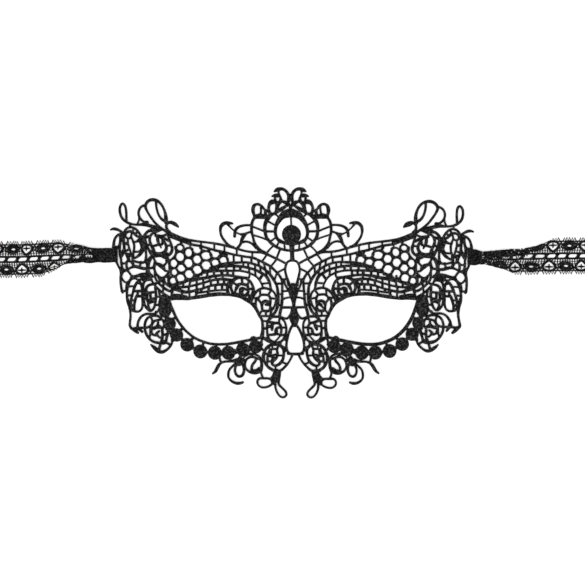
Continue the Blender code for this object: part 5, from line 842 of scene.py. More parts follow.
# %% Put the drawing together
MOTIFS = (crown, crown_loops, shoulder_tendrils, brow_ladders, nose_cells, honeycomb, eye_rim, eye_dots,
          brow_coil, inner_coil, nose_coil, low_coil, bottom_loops, crest, crest_rose, side_rose,
          temple_swirl, inner_temple_coil, outer_temple_coil, side_edge, low_rose)


def half_lace():
    """The drawing of the right half, which is mirrored for the left."""
    lace = Lace()
    for motif in MOTIFS:
        motif(lace)
    return lace


def centre_lace():
    """The drawing of what stands on the middle line."""
    lace = Lace()
    lace.disc((0, 39.2), 6.05)
    lace.cord((0, 45), (0, 51), w=1)
    lace.cord((0, 34), (0, 31), (0, 28), (0, 22.4), w=(4.5, 3.2, 2.7, 2.7, 2.8))
    lace.cord((0, 5.6), (0, 3.6), (0, 2), (0, 0), (0, -2), (0, -4), (0, -8), (0, -10), (0, -12), (0, -14.5),
              (0, -17), (0, -20.2), w=(5, 7.2, 6.2, 4.8, 3.3, 2.3, 1.9, 2.8, 4.4, 6.6, 5.2, 3.4))
    lace.cord((-1.5, 53.2), (1.5, 53.2), w=5.6)
    lace.cord((0, 61.2), (0, 63.5), (0, 65.6), w=(0.7, 0.8, 0.7))
    lace.cord((-5, -38.8), (0, -39.1), (5, -38.8), w=1.7)
    return lace


print("the half drawing has", len(half_lace().cords), "cords and", len(half_lace().discs), "filled dots")

# %% [markdown]
# ## From a line to a cord
#
# A satin-stitched cord is a flat oval: padding threads run along it and the top thread wraps them side by
# side. It could be a curve object with a bevel, but that gives one round section everywhere. Here one ring of
# points is made and its edges are extruded along the line, each new ring turned square to the line and sized
# to the width there. A loose end shrinks like a fingertip, and a closed line is bridged back to its start.
# Every point keeps how far along the cord it is, in an attribute called run, so that the finish can lay its
# stitches square across the cord wherever it bends.

# %% Find where the rings of a cord go
# The rings past a loose end: how far past it and how wide, as shares of the cord's width there
FINGERTIP = ((0.22, 0.8), (0.36, 0.35))


def widths_along(points, widths):
    """The width and the distance at each point of a line whose widths are spread evenly along it."""
    reach = [0.0]
    for a, b in zip(points, points[1:]):
        reach.append(reach[-1] + math.dist(a, b))
    out = []
    for distance in reach:
        place = distance / reach[-1] * (len(widths) - 1)
        k = min(int(place), max(0, len(widths) - 2))
        after = widths[min(k + 1, len(widths) - 1)]
        out.append(widths[k] + (after - widths[k]) * (place - k))
    return out, reach


def past_end(station, way_out):
    """The rings that close a loose end: way_out is 1 at the line's end and -1 at its start."""
    place, width, distance, way = station
    return [(place + way * (way_out * ahead) * width, share * width, distance, way)
            for ahead, share in FINGERTIP]


def stations_of(points, widths, closed):
    """Where the rings of a cord go: place, width, distance along and direction."""
    sizes, reach = widths_along(points, widths)
    line = [Vector(p) for p in points]
    last = len(line) - 1
    out = []
    for i, p in enumerate(line):
        before = line[i - 1] if i else (line[-2] if closed else p)
        after = line[i + 1] if i < last else (line[1] if closed else p)
        out.append((p, sizes[i], reach[i], (after - before).normalized()))
    if closed:
        return out[:-1]
    return past_end(out[0], -1)[::-1] + out + past_end(out[-1], 1)


trial = flow([(0, 0), (5, 4), (9, 0)])
print("a trial cord with fingertip ends has", len(stations_of(trial, (1.4, 0.9), False)), "rings")

# %% [markdown]
# The sweep itself starts from a circle of points. Each extrusion gives a fresh ring of points, which is moved
# to its station and sized. The cord's width wanders by a few percent with a smooth noise, because no hand and
# no machine stitches an even cord.

# %% Sweep a ring along the line
SQUARENESS = 0.85
WANDER, WANDER_SCALE = 0.09, 0.35
RUN_SHIFT = 7.3


def sweep(points, widths, sides, tall, base, seed):
    """One closed cord as a bmesh; tall(width) is its height, and base is how high its middle lies."""
    closed = len(points) > 3 and math.dist(points[0], points[-1]) < 1e-6
    cord = bmesh.new()
    run = cord.verts.layers.float.new("run")
    ring = bmesh.ops.create_circle(cord, cap_ends=False, segments=sides, radius=1.0)["verts"]
    oval = [[math.copysign(abs(c) ** SQUARENESS, c) for c in v.co.xy] for v in ring]
    edges = cord.edges[:]
    first = edges
    for i, (p, width, distance, way) in enumerate(stations_of(points, widths, closed)):
        if i:
            made = bmesh.ops.extrude_edge_only(cord, edges=edges)["geom"]
            fresh = {g for g in made if isinstance(g, bmesh.types.BMVert)}
            edges = [g for g in made if isinstance(g, bmesh.types.BMEdge) and set(g.verts) <= fresh]
            ring = [next(e.other_vert(v) for e in v.link_edges if e.other_vert(v) in fresh) for v in ring]
        across = Vector((-way.y, way.x))
        swell = 1 + WANDER * noise.noise(Vector((WANDER_SCALE * distance, seed, 0.5)))
        for v, (u, z) in zip(ring, oval):
            q = p + across * (0.5 * width * swell * u)
            v.co = (q.x, q.y, base + 0.5 * tall(width) * z)
            v[run] = distance + RUN_SHIFT * seed
    if closed:
        bmesh.ops.bridge_loops(cord, edges=first + edges)
    else:
        bmesh.ops.edgeloop_fill(cord, edges=first)
        bmesh.ops.edgeloop_fill(cord, edges=edges)
    bmesh.ops.recalc_face_normals(cord, faces=cord.faces)
    return cord


trial = sweep(trial, (1.4, 0.9), 8, lambda width: width, 0.7, 0.0)
print("a trial cord has", len(trial.faces), "faces")

# %% [markdown]
# Eight hundred cords as eight hundred objects would be slow to handle, and each piece of the mask is one
# thing. So many small bmeshes are poured into one, which becomes a single mesh object. The run attribute goes
# along, because the big bmesh has a layer of the same name.

# %% Put many shapes into one mesh object
def as_object(whole, name):
    """Turns a bmesh into a smooth-shaded object of the scene."""
    mesh = bpy.data.meshes.new(name)
    whole.to_mesh(mesh)
    whole.free()
    mesh.shade_smooth()
    piece = bpy.data.objects.new(name, mesh)
    bpy.context.scene.collection.objects.link(piece)
    return piece


def gather_up(shapes, name):
    """Many small bmeshes as one object with a run at every point."""
    whole = bmesh.new()
    whole.verts.layers.float.new("run")
    for shape in shapes:
        mesh = bpy.data.meshes.new("part")
        shape.to_mesh(mesh)
        shape.free()
        whole.from_mesh(mesh)
        bpy.data.meshes.remove(mesh)
    return as_object(whole, name)


def join(parts, name):
    """Several objects as one, with every face pointing out."""
    whole = bmesh.new()
    whole.verts.layers.float.new("run")
    for part in parts:
        mesh = part.data
        whole.from_mesh(mesh)
        bpy.data.objects.remove(part)
        bpy.data.meshes.remove(mesh)
    bmesh.ops.recalc_face_normals(whole, faces=whole.faces)
    return as_object(whole, name)


def describe(piece):
    """Prints how big a piece is, how many triangles it has, and the area that its surface covers."""
    count = sum(len(p.vertices) - 2 for p in piece.data.polygons)
    surface = sum(p.area for p in piece.data.polygons)
    low = [round(1000 * min(v.co[k] for v in piece.data.vertices), 1) for k in range(3)]
    high = [round(1000 * max(v.co[k] for v in piece.data.vertices), 1) for k in range(3)]
    print(piece.name, "has", count, "triangles, from", low, "to", high, "mm, and half its surface is",
          round(surface / 2, 5), "m2")


trial_piece = gather_up([trial], "trial")
print("as an object it has", len(trial_piece.data.vertices), "points")
# Its mesh takes the object with it
bpy.data.meshes.remove(trial_piece.data)

# %% [markdown]
# ## Lay the lace
#
# The half drawing is swept twice, once for each side, and what lies on the middle line once. No lace is the
# same on both sides: the right half's temple is turned a little and drawn out by its ribbon, and a few places
# are pulled further, by up to a millimetre. A second full drawing could say it too, but would hide how little
# differs. So one function moves the points of the right half.

# %% Pull the right half out of shape, and lay both on the table
# All in sheet units: where a zone starts and how wide it is, how far it moves, and how much it turns
DROP = 1.0
NOSE_WIDTH, NOSE_FLARE, NOSE_LEVEL = 8, 0.6, -5
TEMPLE_START, TEMPLE_WIDTH = 50, 55
RIM_START, RIM_WIDTH = 100, 14
FACE_MOVE = (-0.42, 0.2)
RIM_MOVE = (0.85, -0.25)
TURN_OUT = 0.0255
TURN_UP = 0.026
TURN_LEVEL = 3
TURN_TOP = 33
# Places that are pulled further: middle, reach across and up, and how far it is moved
PULLS = (
    ((34, 47), (20, 14), (0.5, 0.0)), ((38, 4), (16, 10), (0.45, 0.0)), ((78, 52), (14, 10), (-0.6, 0.45)),
    ((24, -57), (18, 12), (0.7, -0.5)), ((104, 20), (14, 16), (0.0, -0.35)), ((6, 11), (5, 6), (-0.4, 0.0)),
    ((5, -28), (5, 7), (0.4, 0.0)), ((66, 21), (13, 9), (0.45, 0.4)), ((65, 7), (12, 4), (0.0, -0.35)),
    ((93, -34), (6, 3), (0.0, -1.0)), ((42, -45), (9, 5), (0.0, -0.3)), ((46, -53), (5, 7), (-0.5, 0.0)),
    ((96, 56), (8, 8), (0.75, 0.3)))


def ease(share):
    """A share from 0 to 1 that starts and ends gently."""
    share = max(0.0, min(1.0, share))
    return share * share * (3 - 2 * share)


def pulled(x, y):
    """Where a point of the right half really is."""
    beside = ease(x / (NOSE_WIDTH + NOSE_FLARE * abs(y - NOSE_LEVEL)))
    temple = ease((x - TEMPLE_START) / TEMPLE_WIDTH)
    rim = ease((x - RIM_START) / RIM_WIDTH)
    out = TURN_OUT * (min(y, TURN_TOP) - TURN_LEVEL) * temple + FACE_MOVE[0] * beside * (1 - temple)
    out += rim * (RIM_MOVE[0] - out)
    up = FACE_MOVE[1] * beside * (1 - temple) - TURN_UP * y * temple + RIM_MOVE[1] * rim
    for middle, reach, way in PULLS:
        near = math.exp(-((x - middle[0]) / reach[0]) ** 2 - ((y - middle[1]) / reach[1]) ** 2)
        out += near * way[0]
        up += near * way[1]
    return x + out, y + up


def place_on_table(piece, side):
    """Moves a piece from the sheet to the table: mirrored, leaning, and in metres."""
    for v in piece.data.vertices:
        x, y, z = v.co
        if side > 0:
            x, y = pulled(x, y)
        v.co = (UNIT * (side * x - LEAN * y), UNIT * (y - DROP), UNIT * z)


tip = (116, 30)
print("the right half's outer end is moved by", [round(b - a, 2) for a, b in zip(tip, pulled(*tip))], "mm")

# %% [markdown]
# Each side also has a few cords of its own. Each ends its side stem and winds the curl beside the nose in its
# own way, and the right one has a thicker eye rim below, a fuller crest tip and a thread in its inner coil.
# They are added to the same half drawing, still with x outward, so that the mirroring stays the last step.

# %% Draw what differs between the sides
def left_lace():
    """The left half's drawing, with its own nose curl and the end of its side stem."""
    lace = half_lace()
    lace.cord((9.2, -26.6), (8.7, -23.6), (9, -20.6), (10.4, -18.9), (13, -18.8), (15.4, -18.4),
              (17.4, -17.9), w=(1.4, 1.6, 1.6, 1.8, 1.9, 1.6))
    lace.cord((13.6, -18.8), (14.7, -20.4), (14.8, -23.4), w=(2, 2.6, 1.6))
    lace.cord((9, -21.6), (11, -21.9), (12.1, -23.2), (12.2, -25.4), (13.2, -26.2), (15.5, -26.5),
              (17.6, -26.6), w=(1.3, 1.9, 2.4, 1.9, 1.5, 1.5))
    lace.rung((16.4, -20.4), (16.7, -21.6), 1.5)
    lace.cord((107.9, -20), (107, -22), (105.2, -23.2), (102.5, -25.3), w=(1.5, 1.9, 2.4, 1.6))
    lace.cord((104, -22.4), (101.6, -22.9), (99.7, -24.6), w=(1.6, 1.9, 1.7))
    return lace


def right_lace():
    """The right half's drawing, with its own nose curl, side stem, eye rim and crest tip."""
    lace = half_lace()
    lace.cord((9.4, -26.8), (8.8, -23.8), (9.2, -20.8), (10.7, -19), (12.8, -18.7), (14.7, -18),
              (17.3, -17.3), w=(1.4, 1.6, 1.6, 1.8, 1.9, 1.6))
    lace.cord((13.3, -19), (14.1, -21), (15, -23.4), w=(1.8, 2.4, 1.5))
    lace.cord((9.1, -22.1), (10.8, -22.3), (11.8, -23.6), (11.9, -25.4), (13.3, -26.5), (15.5, -26.6),
              (17.8, -25.6), w=(1.3, 1.8, 2.2, 1.9, 1.6, 1.8))
    lace.cord((14.4, -20.8), (16.3, -21.1), (18, -21), w=(1.6, 1.2, 1.2))
    lace.cord((17.6, -7.2), (18.8, -8), (19.5, -9.2), w=(1.5, 1.5, 1))
    lace.rung((67.8, 12), (68, 10.8), 1.4)
    lace.cord((107.9, -20), (107.9, -21.4), (107.3, -22.2), (105.6, -23.9), (103.6, -26.1),
              w=(1.5, 1.8, 2.4, 1.4))
    lace.cord((107.2, -22), (105.2, -22.1), (103, -21.6), w=(1.6, 1.1, 1.4))
    lace.cord((102.4, -20), (101.9, -21.8), (100.1, -24.7), w=(2.4, 2.2, 1.4))
    lace.cord((24, -29.3), (31, -30.9), (37, -32), (42, -32.8), (47, -33.3), (52, -33.3), (56.7, -32.7),
              (60.9, -31.4), (64.6, -29.9), (68.6, -27.3), (73.2, -22.9), (77.2, -16.9), (80.1, -10.2),
              w=1.3)
    lace.cord((75, 44.7), (77.2, 46.2), (79.2, 46.9), w=(1.6, 3.4, 2.4))
    return lace


drawings = {1: right_lace(), -1: left_lace(), 0: centre_lace()}
print("cords right, left and middle:", [len(drawing.cords) for drawing in drawings.values()])

# %% [markdown]
# Every cord of the three drawings is swept, with its own seed so that no two wander alike. Main cords are as
# tall as the lace is thick, and thin bars are lower, as a single row of thread is. The cords lie at five
# slightly different heights in turn, so that two that cross seldom share a surface. Loose fibres make a real
# cord look a little wider than its core, and FUZZ adds that. The sweep is made on the sheet and its points
# are moved to the table afterwards, so one function places cords and dots alike.

# %% Sweep the mask's cords
SIDES = 8
FUZZ = 0.24
CORD_MIDDLE = 0.53
STAGGER, STAGGER_STEPS = 0.012, 5
SEED_STEP, SEED_SIDE = 1.7, 31.0
THIN_SHARE = 0.42


def cord_height(width):
    """How tall a lace cord of this width stands, in sheet units."""
    return min(1.0, THIN_SHARE + THIN_SHARE * width) * LACE_THICKNESS / UNIT


cord_parts = []
for side, drawing in drawings.items():
    shapes = []
    for number, (points, widths) in enumerate(drawing.cords):
        base = CORD_MIDDLE * LACE_THICKNESS / UNIT + STAGGER * (number % STAGGER_STEPS)
        furry = [w + FUZZ for w in widths]
        seed = SEED_STEP * number + SEED_SIDE * side
        shapes.append(sweep(points, furry, SIDES, cord_height, base, seed))
    part = gather_up(shapes, "cords")
    place_on_table(part, side or 1)
    cord_parts.append(part)
print("points in each part:", [len(part.data.vertices) for part in cord_parts])

# %% [markdown]
# The filled dots are satin stitch too, worked to and fro over padding, so each stands a little higher in its
# middle. A cylinder would have a hard edge all round. A sphere is squashed into a pill with a full edge
# instead, and its run goes straight across it, so that the stitches lie side by side.

# %% Sew the filled dots
DOT_SEGMENTS, DOT_RINGS = 28, 12
DOME_MIDDLE, DOME_FALL = 1.35, 0.35
FULL_EDGE = 0.6
FIRST_LEAN, LEAN_STEP = 0.6, 0.37


def satin_dot(centre, radius, lean):
    """A domed dot of satin stitch, as a bmesh in sheet units; lean turns its stitches."""
    dot = bmesh.new()
    run = dot.verts.layers.float.new("run")
    bmesh.ops.create_uvsphere(dot, u_segments=DOT_SEGMENTS, v_segments=DOT_RINGS, radius=1.0)
    tall = 0.5 * LACE_THICKNESS / UNIT
    for v in dot.verts:
        dome = tall * (DOME_MIDDLE - DOME_FALL * v.co.xy.length_squared)
        v.co.z = tall + math.copysign(abs(v.co.z) ** FULL_EDGE, v.co.z) * (dome if v.co.z > 0 else tall)
        v.co.x = centre[0] + radius * v.co.x
        v.co.y = centre[1] + radius * v.co.y
        v[run] = v.co.x * math.cos(lean) + v.co.y * math.sin(lean)
    return dot


for side, drawing in drawings.items():
    dots = [satin_dot(centre, radius + FUZZ, FIRST_LEAN + LEAN_STEP * number)
            for number, (centre, radius) in enumerate(drawing.discs)]
    part = gather_up(dots, "dots")
    place_on_table(part, side or 1)
    cord_parts.append(part)

mask_lace = join(cord_parts, "mask_lace")
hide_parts("lace_mask")
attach(mask_lace, "root")
describe(mask_lace)

# %% [markdown]
# ## The ribbon's pattern
#
# The ties are woven lace trim 25 mm wide. Its middle is a row of long slots between two bars. On each side of
# that runs a strip of square net, then a row where a wheel with a cross in it and a dark leaf with a slit
# take turns, then a scalloped edge with a fringe of small loops. A picture of the pattern on a flat band
# would be quicker, but light has to come through the holes. So it is drawn in thread like the mask, flat
# first, with s along the ribbon and t across it, both in millimetres.

# %% Draw the motifs of the trim
WHEEL_PITCH = 20.4
MOTIF_PITCH = WHEEL_PITCH / 2
SLOT_PITCH = 7.17
NET_PITCH = 1.6
HALF_WIDTH = 1000 * RIBBON_WIDTH / 2
BAR = 1.7
ROW = 6.6


def between(steps, distance):
    """The value at a distance, between the steps."""
    if distance <= steps[0][0]:
        return steps[0][1]
    for (d0, s0), (d1, s1) in zip(steps, steps[1:]):
        if distance <= d1:
            return s0 + (s1 - s0) * (distance - d0) / (d1 - d0)
    return steps[-1][1]


def wheel(lace, s, t, way):
    """A drop-shaped ring that points to the ribbon's middle, with a cross of thread in its wide part."""
    rim = [(0.0, 2.7), (2.5, 2.3), (3.8, 0.7), (3.2, -1.1), (1.6, -2.6), (0.0, -3.4)]
    rim += [(-a, b) for a, b in rim[4:0:-1]]
    lace.line(flow([(s + a, t + way * b) for a, b in rim], True, 1.5),
              (1.1, 1.5, 2.1, 2.1, 1.8, 1.4, 1.8, 2.1, 2.1, 1.5, 1.1))
    lace.cord((s - 2.3, t + 0.5 * way), (s, t + 0.4 * way), (s + 2.3, t + 0.5 * way), w=(0.9, 1.6, 0.9))
    lace.rung((s, t + 1.8 * way), (s, t - 1.0 * way), 0.95)


def leaf(lace, s, t, tilt):
    """A dark oval with a slit, and with pointed ends that tilt a little."""
    rim = [(5.0, tilt), (2.8, 1.7 + 0.3 * tilt), (0.0, 2.2), (-2.8, 1.7 - 0.3 * tilt)]
    rim += [(-a, -b) for a, b in rim]
    lace.line(flow([(s + a, t + b) for a, b in rim], True, 1.5),
              (1.2, 2.1, 2.1, 2.1, 1.2, 2.1, 2.1, 2.1, 1.2))
    lace.ring(s, t, 2.5, 1.35, w=(2.5, 1.5, 2.5, 1.5, 2.5), step=1.2)


def corner(lace, s, way):
    """Threads that fill the corners between a wheel and a leaf."""
    for a, b in (((-2.0, 5.4), (0.5, 9.9)), ((2.0, 5.4), (-0.5, 9.9)), ((-1.3, 7.6), (1.3, 7.6))):
        lace.rung((s + a[0], way * a[1]), (s + b[0], way * b[1]), 0.8)


print("the trim repeats every", WHEEL_PITCH, "mm, and its slots every", SLOT_PITCH, "mm")

# %% [markdown]
# The net and the edge run on past the motifs. The net is deeper where two motifs leave room, so its depth is
# looked up by how far the nearest wheel is. The edge swings out over each motif, and its loops of thread are
# one zigzag line that touches the edge at every second tooth.

# %% Draw the net and the scalloped edge
# How far from the ribbon's middle the net reaches, at a distance along from a wheel
NET_ROOM = ((0, 3.0), (1.4, 3.4), (3.2, 5.1), (5.1, 5.5), (7.0, 4.9), (10.2, 3.9))
NET_FOOT = 2.1
NET_LEAN = 0.4
NET_BAR, NET_TOP, NET_MIDDLE = 0.7, 0.6, 0.45
SCALLOP, SCALLOP_SWING = 9.65, 0.3
EDGE_THREAD = 0.85
PICOT_PITCH = 1.65
PICOT_THREAD = 0.95
PICOT_INSET, PICOT_UNEVEN, PICOT_DRIFT = 0.3, 0.15, 0.12
PICOT_TEETH = 5
END_ROOM = 4


def net(lace, start, end, way, shift):
    """Square net between the bar and the motifs, deeper where there is room between two motifs."""
    upper = []
    middle = []
    for i in range(int((end - start) / NET_PITCH)):
        s = start + NET_PITCH * i
        from_wheel = abs((s - shift + WHEEL_PITCH / 2) % WHEEL_PITCH - WHEEL_PITCH / 2)
        room = between(NET_ROOM, from_wheel)
        lace.rung((s, way * NET_FOOT), (s + NET_LEAN * way, way * room), NET_BAR)
        upper.append((s, way * room))
        middle.append((s, way * (NET_FOOT + 0.5 * (room - NET_FOOT))))
    lace.line(upper, NET_TOP)
    lace.line(middle, NET_MIDDLE)


def edge(lace, start, end, way, shift):
    """The scalloped edge, with pointed loops of thread on each scallop and none between two."""
    def scallop(s):
        return SCALLOP + SCALLOP_SWING * math.cos(4 * math.pi * (s - shift) / WHEEL_PITCH)

    count = int(end - start)
    places = [start + (end - start) * i / count for i in range(count + 1)]
    lace.line([(s, way * scallop(s)) for s in places], EDGE_THREAD)
    middle = shift + MOTIF_PITCH * math.ceil((start + END_ROOM - shift) / MOTIF_PITCH)
    while middle < end - END_ROOM:
        teeth = []
        for k in range(-PICOT_TEETH, PICOT_TEETH + 1):
            s = middle + 0.5 * PICOT_PITCH * k
            tip = HALF_WIDTH - PICOT_INSET - PICOT_UNEVEN * (k % 3)
            teeth.append((s + PICOT_DRIFT * (k % 3), way * (scallop(s) if k % 2 else tip)))
        lace.line(teeth, PICOT_THREAD)
        middle += MOTIF_PITCH


trial = Lace()
edge(trial, 0.0, 100.0, 1, 0.0)
print("100 mm of edge has", len(trial.cords) - 1, "scallops")

# %% [markdown]
# With its motifs drawn, the whole trim is loops over the repeats: bars, slots, and then for each half of the
# width its net, edge, wheels and leaves. The upper and the lower row are a little out of step, as a loom that
# weaves two rows leaves them.

# %% Draw the whole trim flat
BAR_THREAD = 1.5
# The threads of a bar between two slots: where each crosses it, how far its ends spread, and its widths
SLOT_THREADS = (-0.6, 0.0, 0.6)
SLOT_SPREAD = 1.7
SLOT_WIDTHS = (1.8, 1.0, 1.0, 1.8)


def trim(start, end, wheel_at, lower_shift, slot_at, lean=0.5):
    """The ribbon's drawing: a wheel of the upper row has its middle at wheel_at, and a slot at slot_at."""
    lace = Lace()
    count = int(end - start)
    along = [start + (end - start) * i / count for i in range(count + 1)]
    for t in (-BAR, BAR):
        lace.line([(s, t) for s in along], BAR_THREAD)
    s = slot_at + SLOT_PITCH * (math.ceil((start - slot_at) / SLOT_PITCH) + 0.5)
    while s < end:
        for off in SLOT_THREADS:
            foot = SLOT_SPREAD * off
            lace.line([(s + foot - lean, -1.5), (s + off - 0.4 * lean, -0.5),
                       (s + off + 0.4 * lean, 0.5), (s + foot + lean, 1.5)], SLOT_WIDTHS)
        s += SLOT_PITCH
    for way in (1, -1):
        shift = wheel_at if way > 0 else wheel_at + lower_shift
        net(lace, start, end, way, shift)
        edge(lace, start, end, way, shift)
        n = math.ceil((start + END_ROOM - shift) / MOTIF_PITCH)
        while shift + n * MOTIF_PITCH < end - END_ROOM:
            s = shift + n * MOTIF_PITCH
            if n % 2:
                leaf(lace, s, ROW * way, lean * way)
            else:
                wheel(lace, s, ROW * way, way)
            corner(lace, s + MOTIF_PITCH / 2, way)
            n += 1
    return lace


print("a metre of trim would have", len(trim(0.0, 1000.0, 10.0, 3.0, 5.0).cords), "threads")

# %% [markdown]
# ## How a ribbon lies
#
# Cloth keeps its size. At the mask the ribbon is folded lengthwise like a letter, with both edges turned
# under, so three layers lie on each other and hardly any light comes through. Further out the folds open: an
# edge either slides out from under its fold, or turns over as it comes. Near the gather the cloth is bunched
# to less than its width, and the net gives a little, so a motif can lie a millimetre or two out of step. Past
# the edge of the view both ribbons lie rolled up, and a roll is a spiral: each turn is one thickness further
# in. A cloth simulation could fold a band like this, but it would not stop at the folds of the real one.

# %% Where the folds of each ribbon are
# Pairs of a distance from the mask and how far from the ribbon's middle its fold lies there
LEFT_ABOVE = ((10, 4.7), (14, 5.9), (21, 8.3), (27.5, 10.4), (31, 11.2), (36, 12.6))
LEFT_BELOW = ((0, 4.4), (65, 4.4))
RIGHT_ABOVE = ((8, 3.8), (20, 4.7), (30, 5.3), (34, 5.8), (41, 7.2), (48, 9.4), (53, 12.6))
RIGHT_BELOW = ((7, 5.0), (16, 7.3), (23, 9.1), (28, 12.6))
# Which way the lower edge lies: -1 is back under the ribbon, 0 is on edge and 1 is out flat
LEFT_TURN = ((27, -1.0), (31.2, 0.0), (32, 0.12), (37, 0.5), (41.5, 0.76), (46, 1.0))
RIGHT_TURN = ((0, -1.0), (400, -1.0))
# How far the cloth's upper row, middle and lower row are drawn along
LEFT_DRAWN = (((25.4, -2.1), (35.4, 0), (45.5, -0.6), (55.6, 0.4), (65.8, -1.6), (80, 0)),
              ((0, 0), (400, 0)),
              ((38.6, -0.65), (48.8, -1.05), (58.8, 0.2), (75, 0)))
RIGHT_DRAWN = (((43, -0.9), (53, -0.9), (63, -0.3), (75, 0)),
               ((37, -1.4), (44, -0.7), (51, -0.1), (59, -0.5), (66, -1.0), (80, 0)),
               ((30, -2.5), (40, -2.3), (50, -0.6), (60, 0.4), (75, 0)))
# What is left of the cloth's width
LEFT_BUNCHED = ((10, 0.7), (25, 0.8), (34, 1.0))
RIGHT_BUNCHED = ((10, 0.8), (26, 1.0))
print("the right ribbon's folds are all open", RIGHT_ABOVE[-1][0], "mm from the mask")

# %% [markdown]
# A class keeps what one tie needs, and its lay() answers the only question that the drawing asks: where does
# this point of the flat trim lie? It folds the point across the ribbon first, then lifts it by the layers
# below, and last sets it down along the table or winds it into the roll.

# %% Fold and roll a point of a ribbon
CLIMB_LENGTH = 60.0
LAYER = 0.62
FOLD_EASE = 4.0
ROW_EASE = 4.0
TURN_EDGE = 0.9
OPEN_EDGE = 3.0
RIPPLE = 0.35
RIPPLE_SCALE = (0.14, 0.3)
LIFT = 0.05
ROLL_STEP = 1.2
ROLL_GAP = 0.15


class Ribbon:
    """One tie: where it leaves the mask, how it is folded, and where every point of it lies."""

    def __init__(self, side, mask_edge, tie, climb, above, below, turn, drawn, bunched):
        self.side = side
        self.mask_edge = mask_edge
        self.tie = tie
        self.climb = climb
        self.above = above
        self.below = below
        self.turn = turn
        self.drawn = drawn
        self.bunched = bunched
        self.run_end = 1000 * RIBBON_REACH - mask_edge

    def along(self, s, t):
        """Where a point s along the flat trim is drawn to."""
        upper, middle, lower = self.drawn
        beside = ease(abs(t) / ROW_EASE)
        return s + beside * between(upper if t > 0 else lower, s) + (1 - beside) * between(middle, s)

    def lay(self, s, t, n):
        """The place on the table, in mm, of a point s along, t across and n above the flat ribbon."""
        s = self.along(s, t)
        reach = max(0.0, min(s, self.run_end))
        t *= between(self.bunched, reach)
        centre = self.tie + self.climb * min(1.0, reach / CLIMB_LENGTH)
        above = between(self.above, reach)
        below = between(self.below, reach)
        turn = between(self.turn, reach)
        under_above = ease((HALF_WIDTH - above) / FOLD_EASE)
        under_below = ease((HALF_WIDTH - below) / FOLD_EASE) * ease(1.0 - turn)
        level = LIFT + LAYER * (under_above + under_below)
        y = t
        if t > above:
            y = 2 * above - t
            level -= LAYER * ease((t - above) / TURN_EDGE)
        elif -t > below:
            over = -t - below
            y = -below - turn * over
            level -= level * ease(over / OPEN_EDGE) if turn > -0.5 else 2 * LAYER * ease(over / TURN_EDGE)
        rough = noise.noise(Vector((RIPPLE_SCALE[0] * s, RIPPLE_SCALE[1] * t, self.side)))
        ripple = RIPPLE * (under_above + under_below) * rough
        if s <= self.run_end:
            place = (self.mask_edge + s, centre + y + ripple, max(0.0, level) + n)
            return self.side * place[0], place[1], place[2]
        radius = 500 * ROLL_DIAMETER - ROLL_GAP
        tight = ROLL_STEP / (4 * math.pi)
        angle = (radius - math.sqrt(radius ** 2 - 4 * tight * (s - self.run_end))) / (2 * tight)
        r = radius - ROLL_STEP * angle / (2 * math.pi) - n
        across = 1000 * RIBBON_REACH + r * math.sin(angle)
        return self.side * across, centre + y, LIFT + radius - r * math.cos(angle)


left = Ribbon(side=-1, mask_edge=118.79, tie=24.6, climb=-2.8, above=LEFT_ABOVE, below=LEFT_BELOW,
              turn=LEFT_TURN, drawn=LEFT_DRAWN, bunched=LEFT_BUNCHED)
right = Ribbon(side=1, mask_edge=117.6, tie=23.2, climb=1.0, above=RIGHT_ABOVE, below=RIGHT_BELOW,
               turn=RIGHT_TURN, drawn=RIGHT_DRAWN, bunched=RIGHT_BUNCHED)
print("the right ribbon's middle lies at", [round(c, 1) for c in right.lay(60.0, 0.0, 0.0)], "mm, 60 mm out")

# %% [markdown]
# Where a ribbon is sewn down it is a bundle of pleats that are stitched flat, and no pattern shows. Those
# pleats are eight thick ridges side by side, made with the same sweep as the cords, and they climb over the
# mask's outermost cord. A block with grooves in its finish would look the same from above, but not from the
# side.

# %% Press the gathered end into pleats
PLEATS = 8
PLEAT_WIDTHS = (1.5, 1.9, 1.8, 1.5)
PLEAT_HEIGHT = 1.45
PLEAT_LEVEL = 0.85
PLEAT_INSET = 0.8
PLEAT_WOBBLE, WOBBLE_SCALE = 0.3, (0.3, 3.1)
PLEAT_WAVE, WAVE_SCALE = 0.1, 1.3
PLEAT_SEED = 5.0
PINCH_START, PINCH_LENGTH = 1.0, 4.0
OVER_CORD = 1.72
OVER_CORD_END, OVER_CORD_LENGTH = 2.0, 3.0


def pleated_end(ribbon, out_to, half, pinch):
    """The ribbon's gathered end: its layers pressed together under the stitches, as ridges that wander."""
    lap = 1000 * GATHER_LAP
    shapes = []
    for k in range(PLEATS):
        y = (half - PLEAT_INSET) * (2 * k / (PLEATS - 1) - 1)
        points = []
        for i in range(int(out_to + lap) + 1):
            s = -lap + i
            rough = noise.noise(Vector((WOBBLE_SCALE[0] * s, WOBBLE_SCALE[1] * k, ribbon.side)))
            pinched = 1.0 - pinch * ease((s - PINCH_START) / PINCH_LENGTH)
            points.append((s, y * pinched + PLEAT_WOBBLE * rough))
        seed = PLEAT_SEED * k + ribbon.side
        shapes.append(sweep(points, PLEAT_WIDTHS, SIDES, lambda width: PLEAT_HEIGHT, 0.0, seed))
    part = gather_up(shapes, "pleats")
    for v in part.data.vertices:
        s, y, z = v.co
        on_lace = max(0.0, min(1.0, (OVER_CORD_END - s) / OVER_CORD_LENGTH))
        level = PLEAT_LEVEL + on_lace * OVER_CORD + PLEAT_WAVE * math.sin(WAVE_SCALE * s + y)
        v.co = (ribbon.side * (ribbon.mask_edge + s), ribbon.tie + y, level + z)
    return part


print("each ribbon ends in", PLEATS, "pleats that lap", 1000 * GATHER_LAP, "mm over the mask's edge")

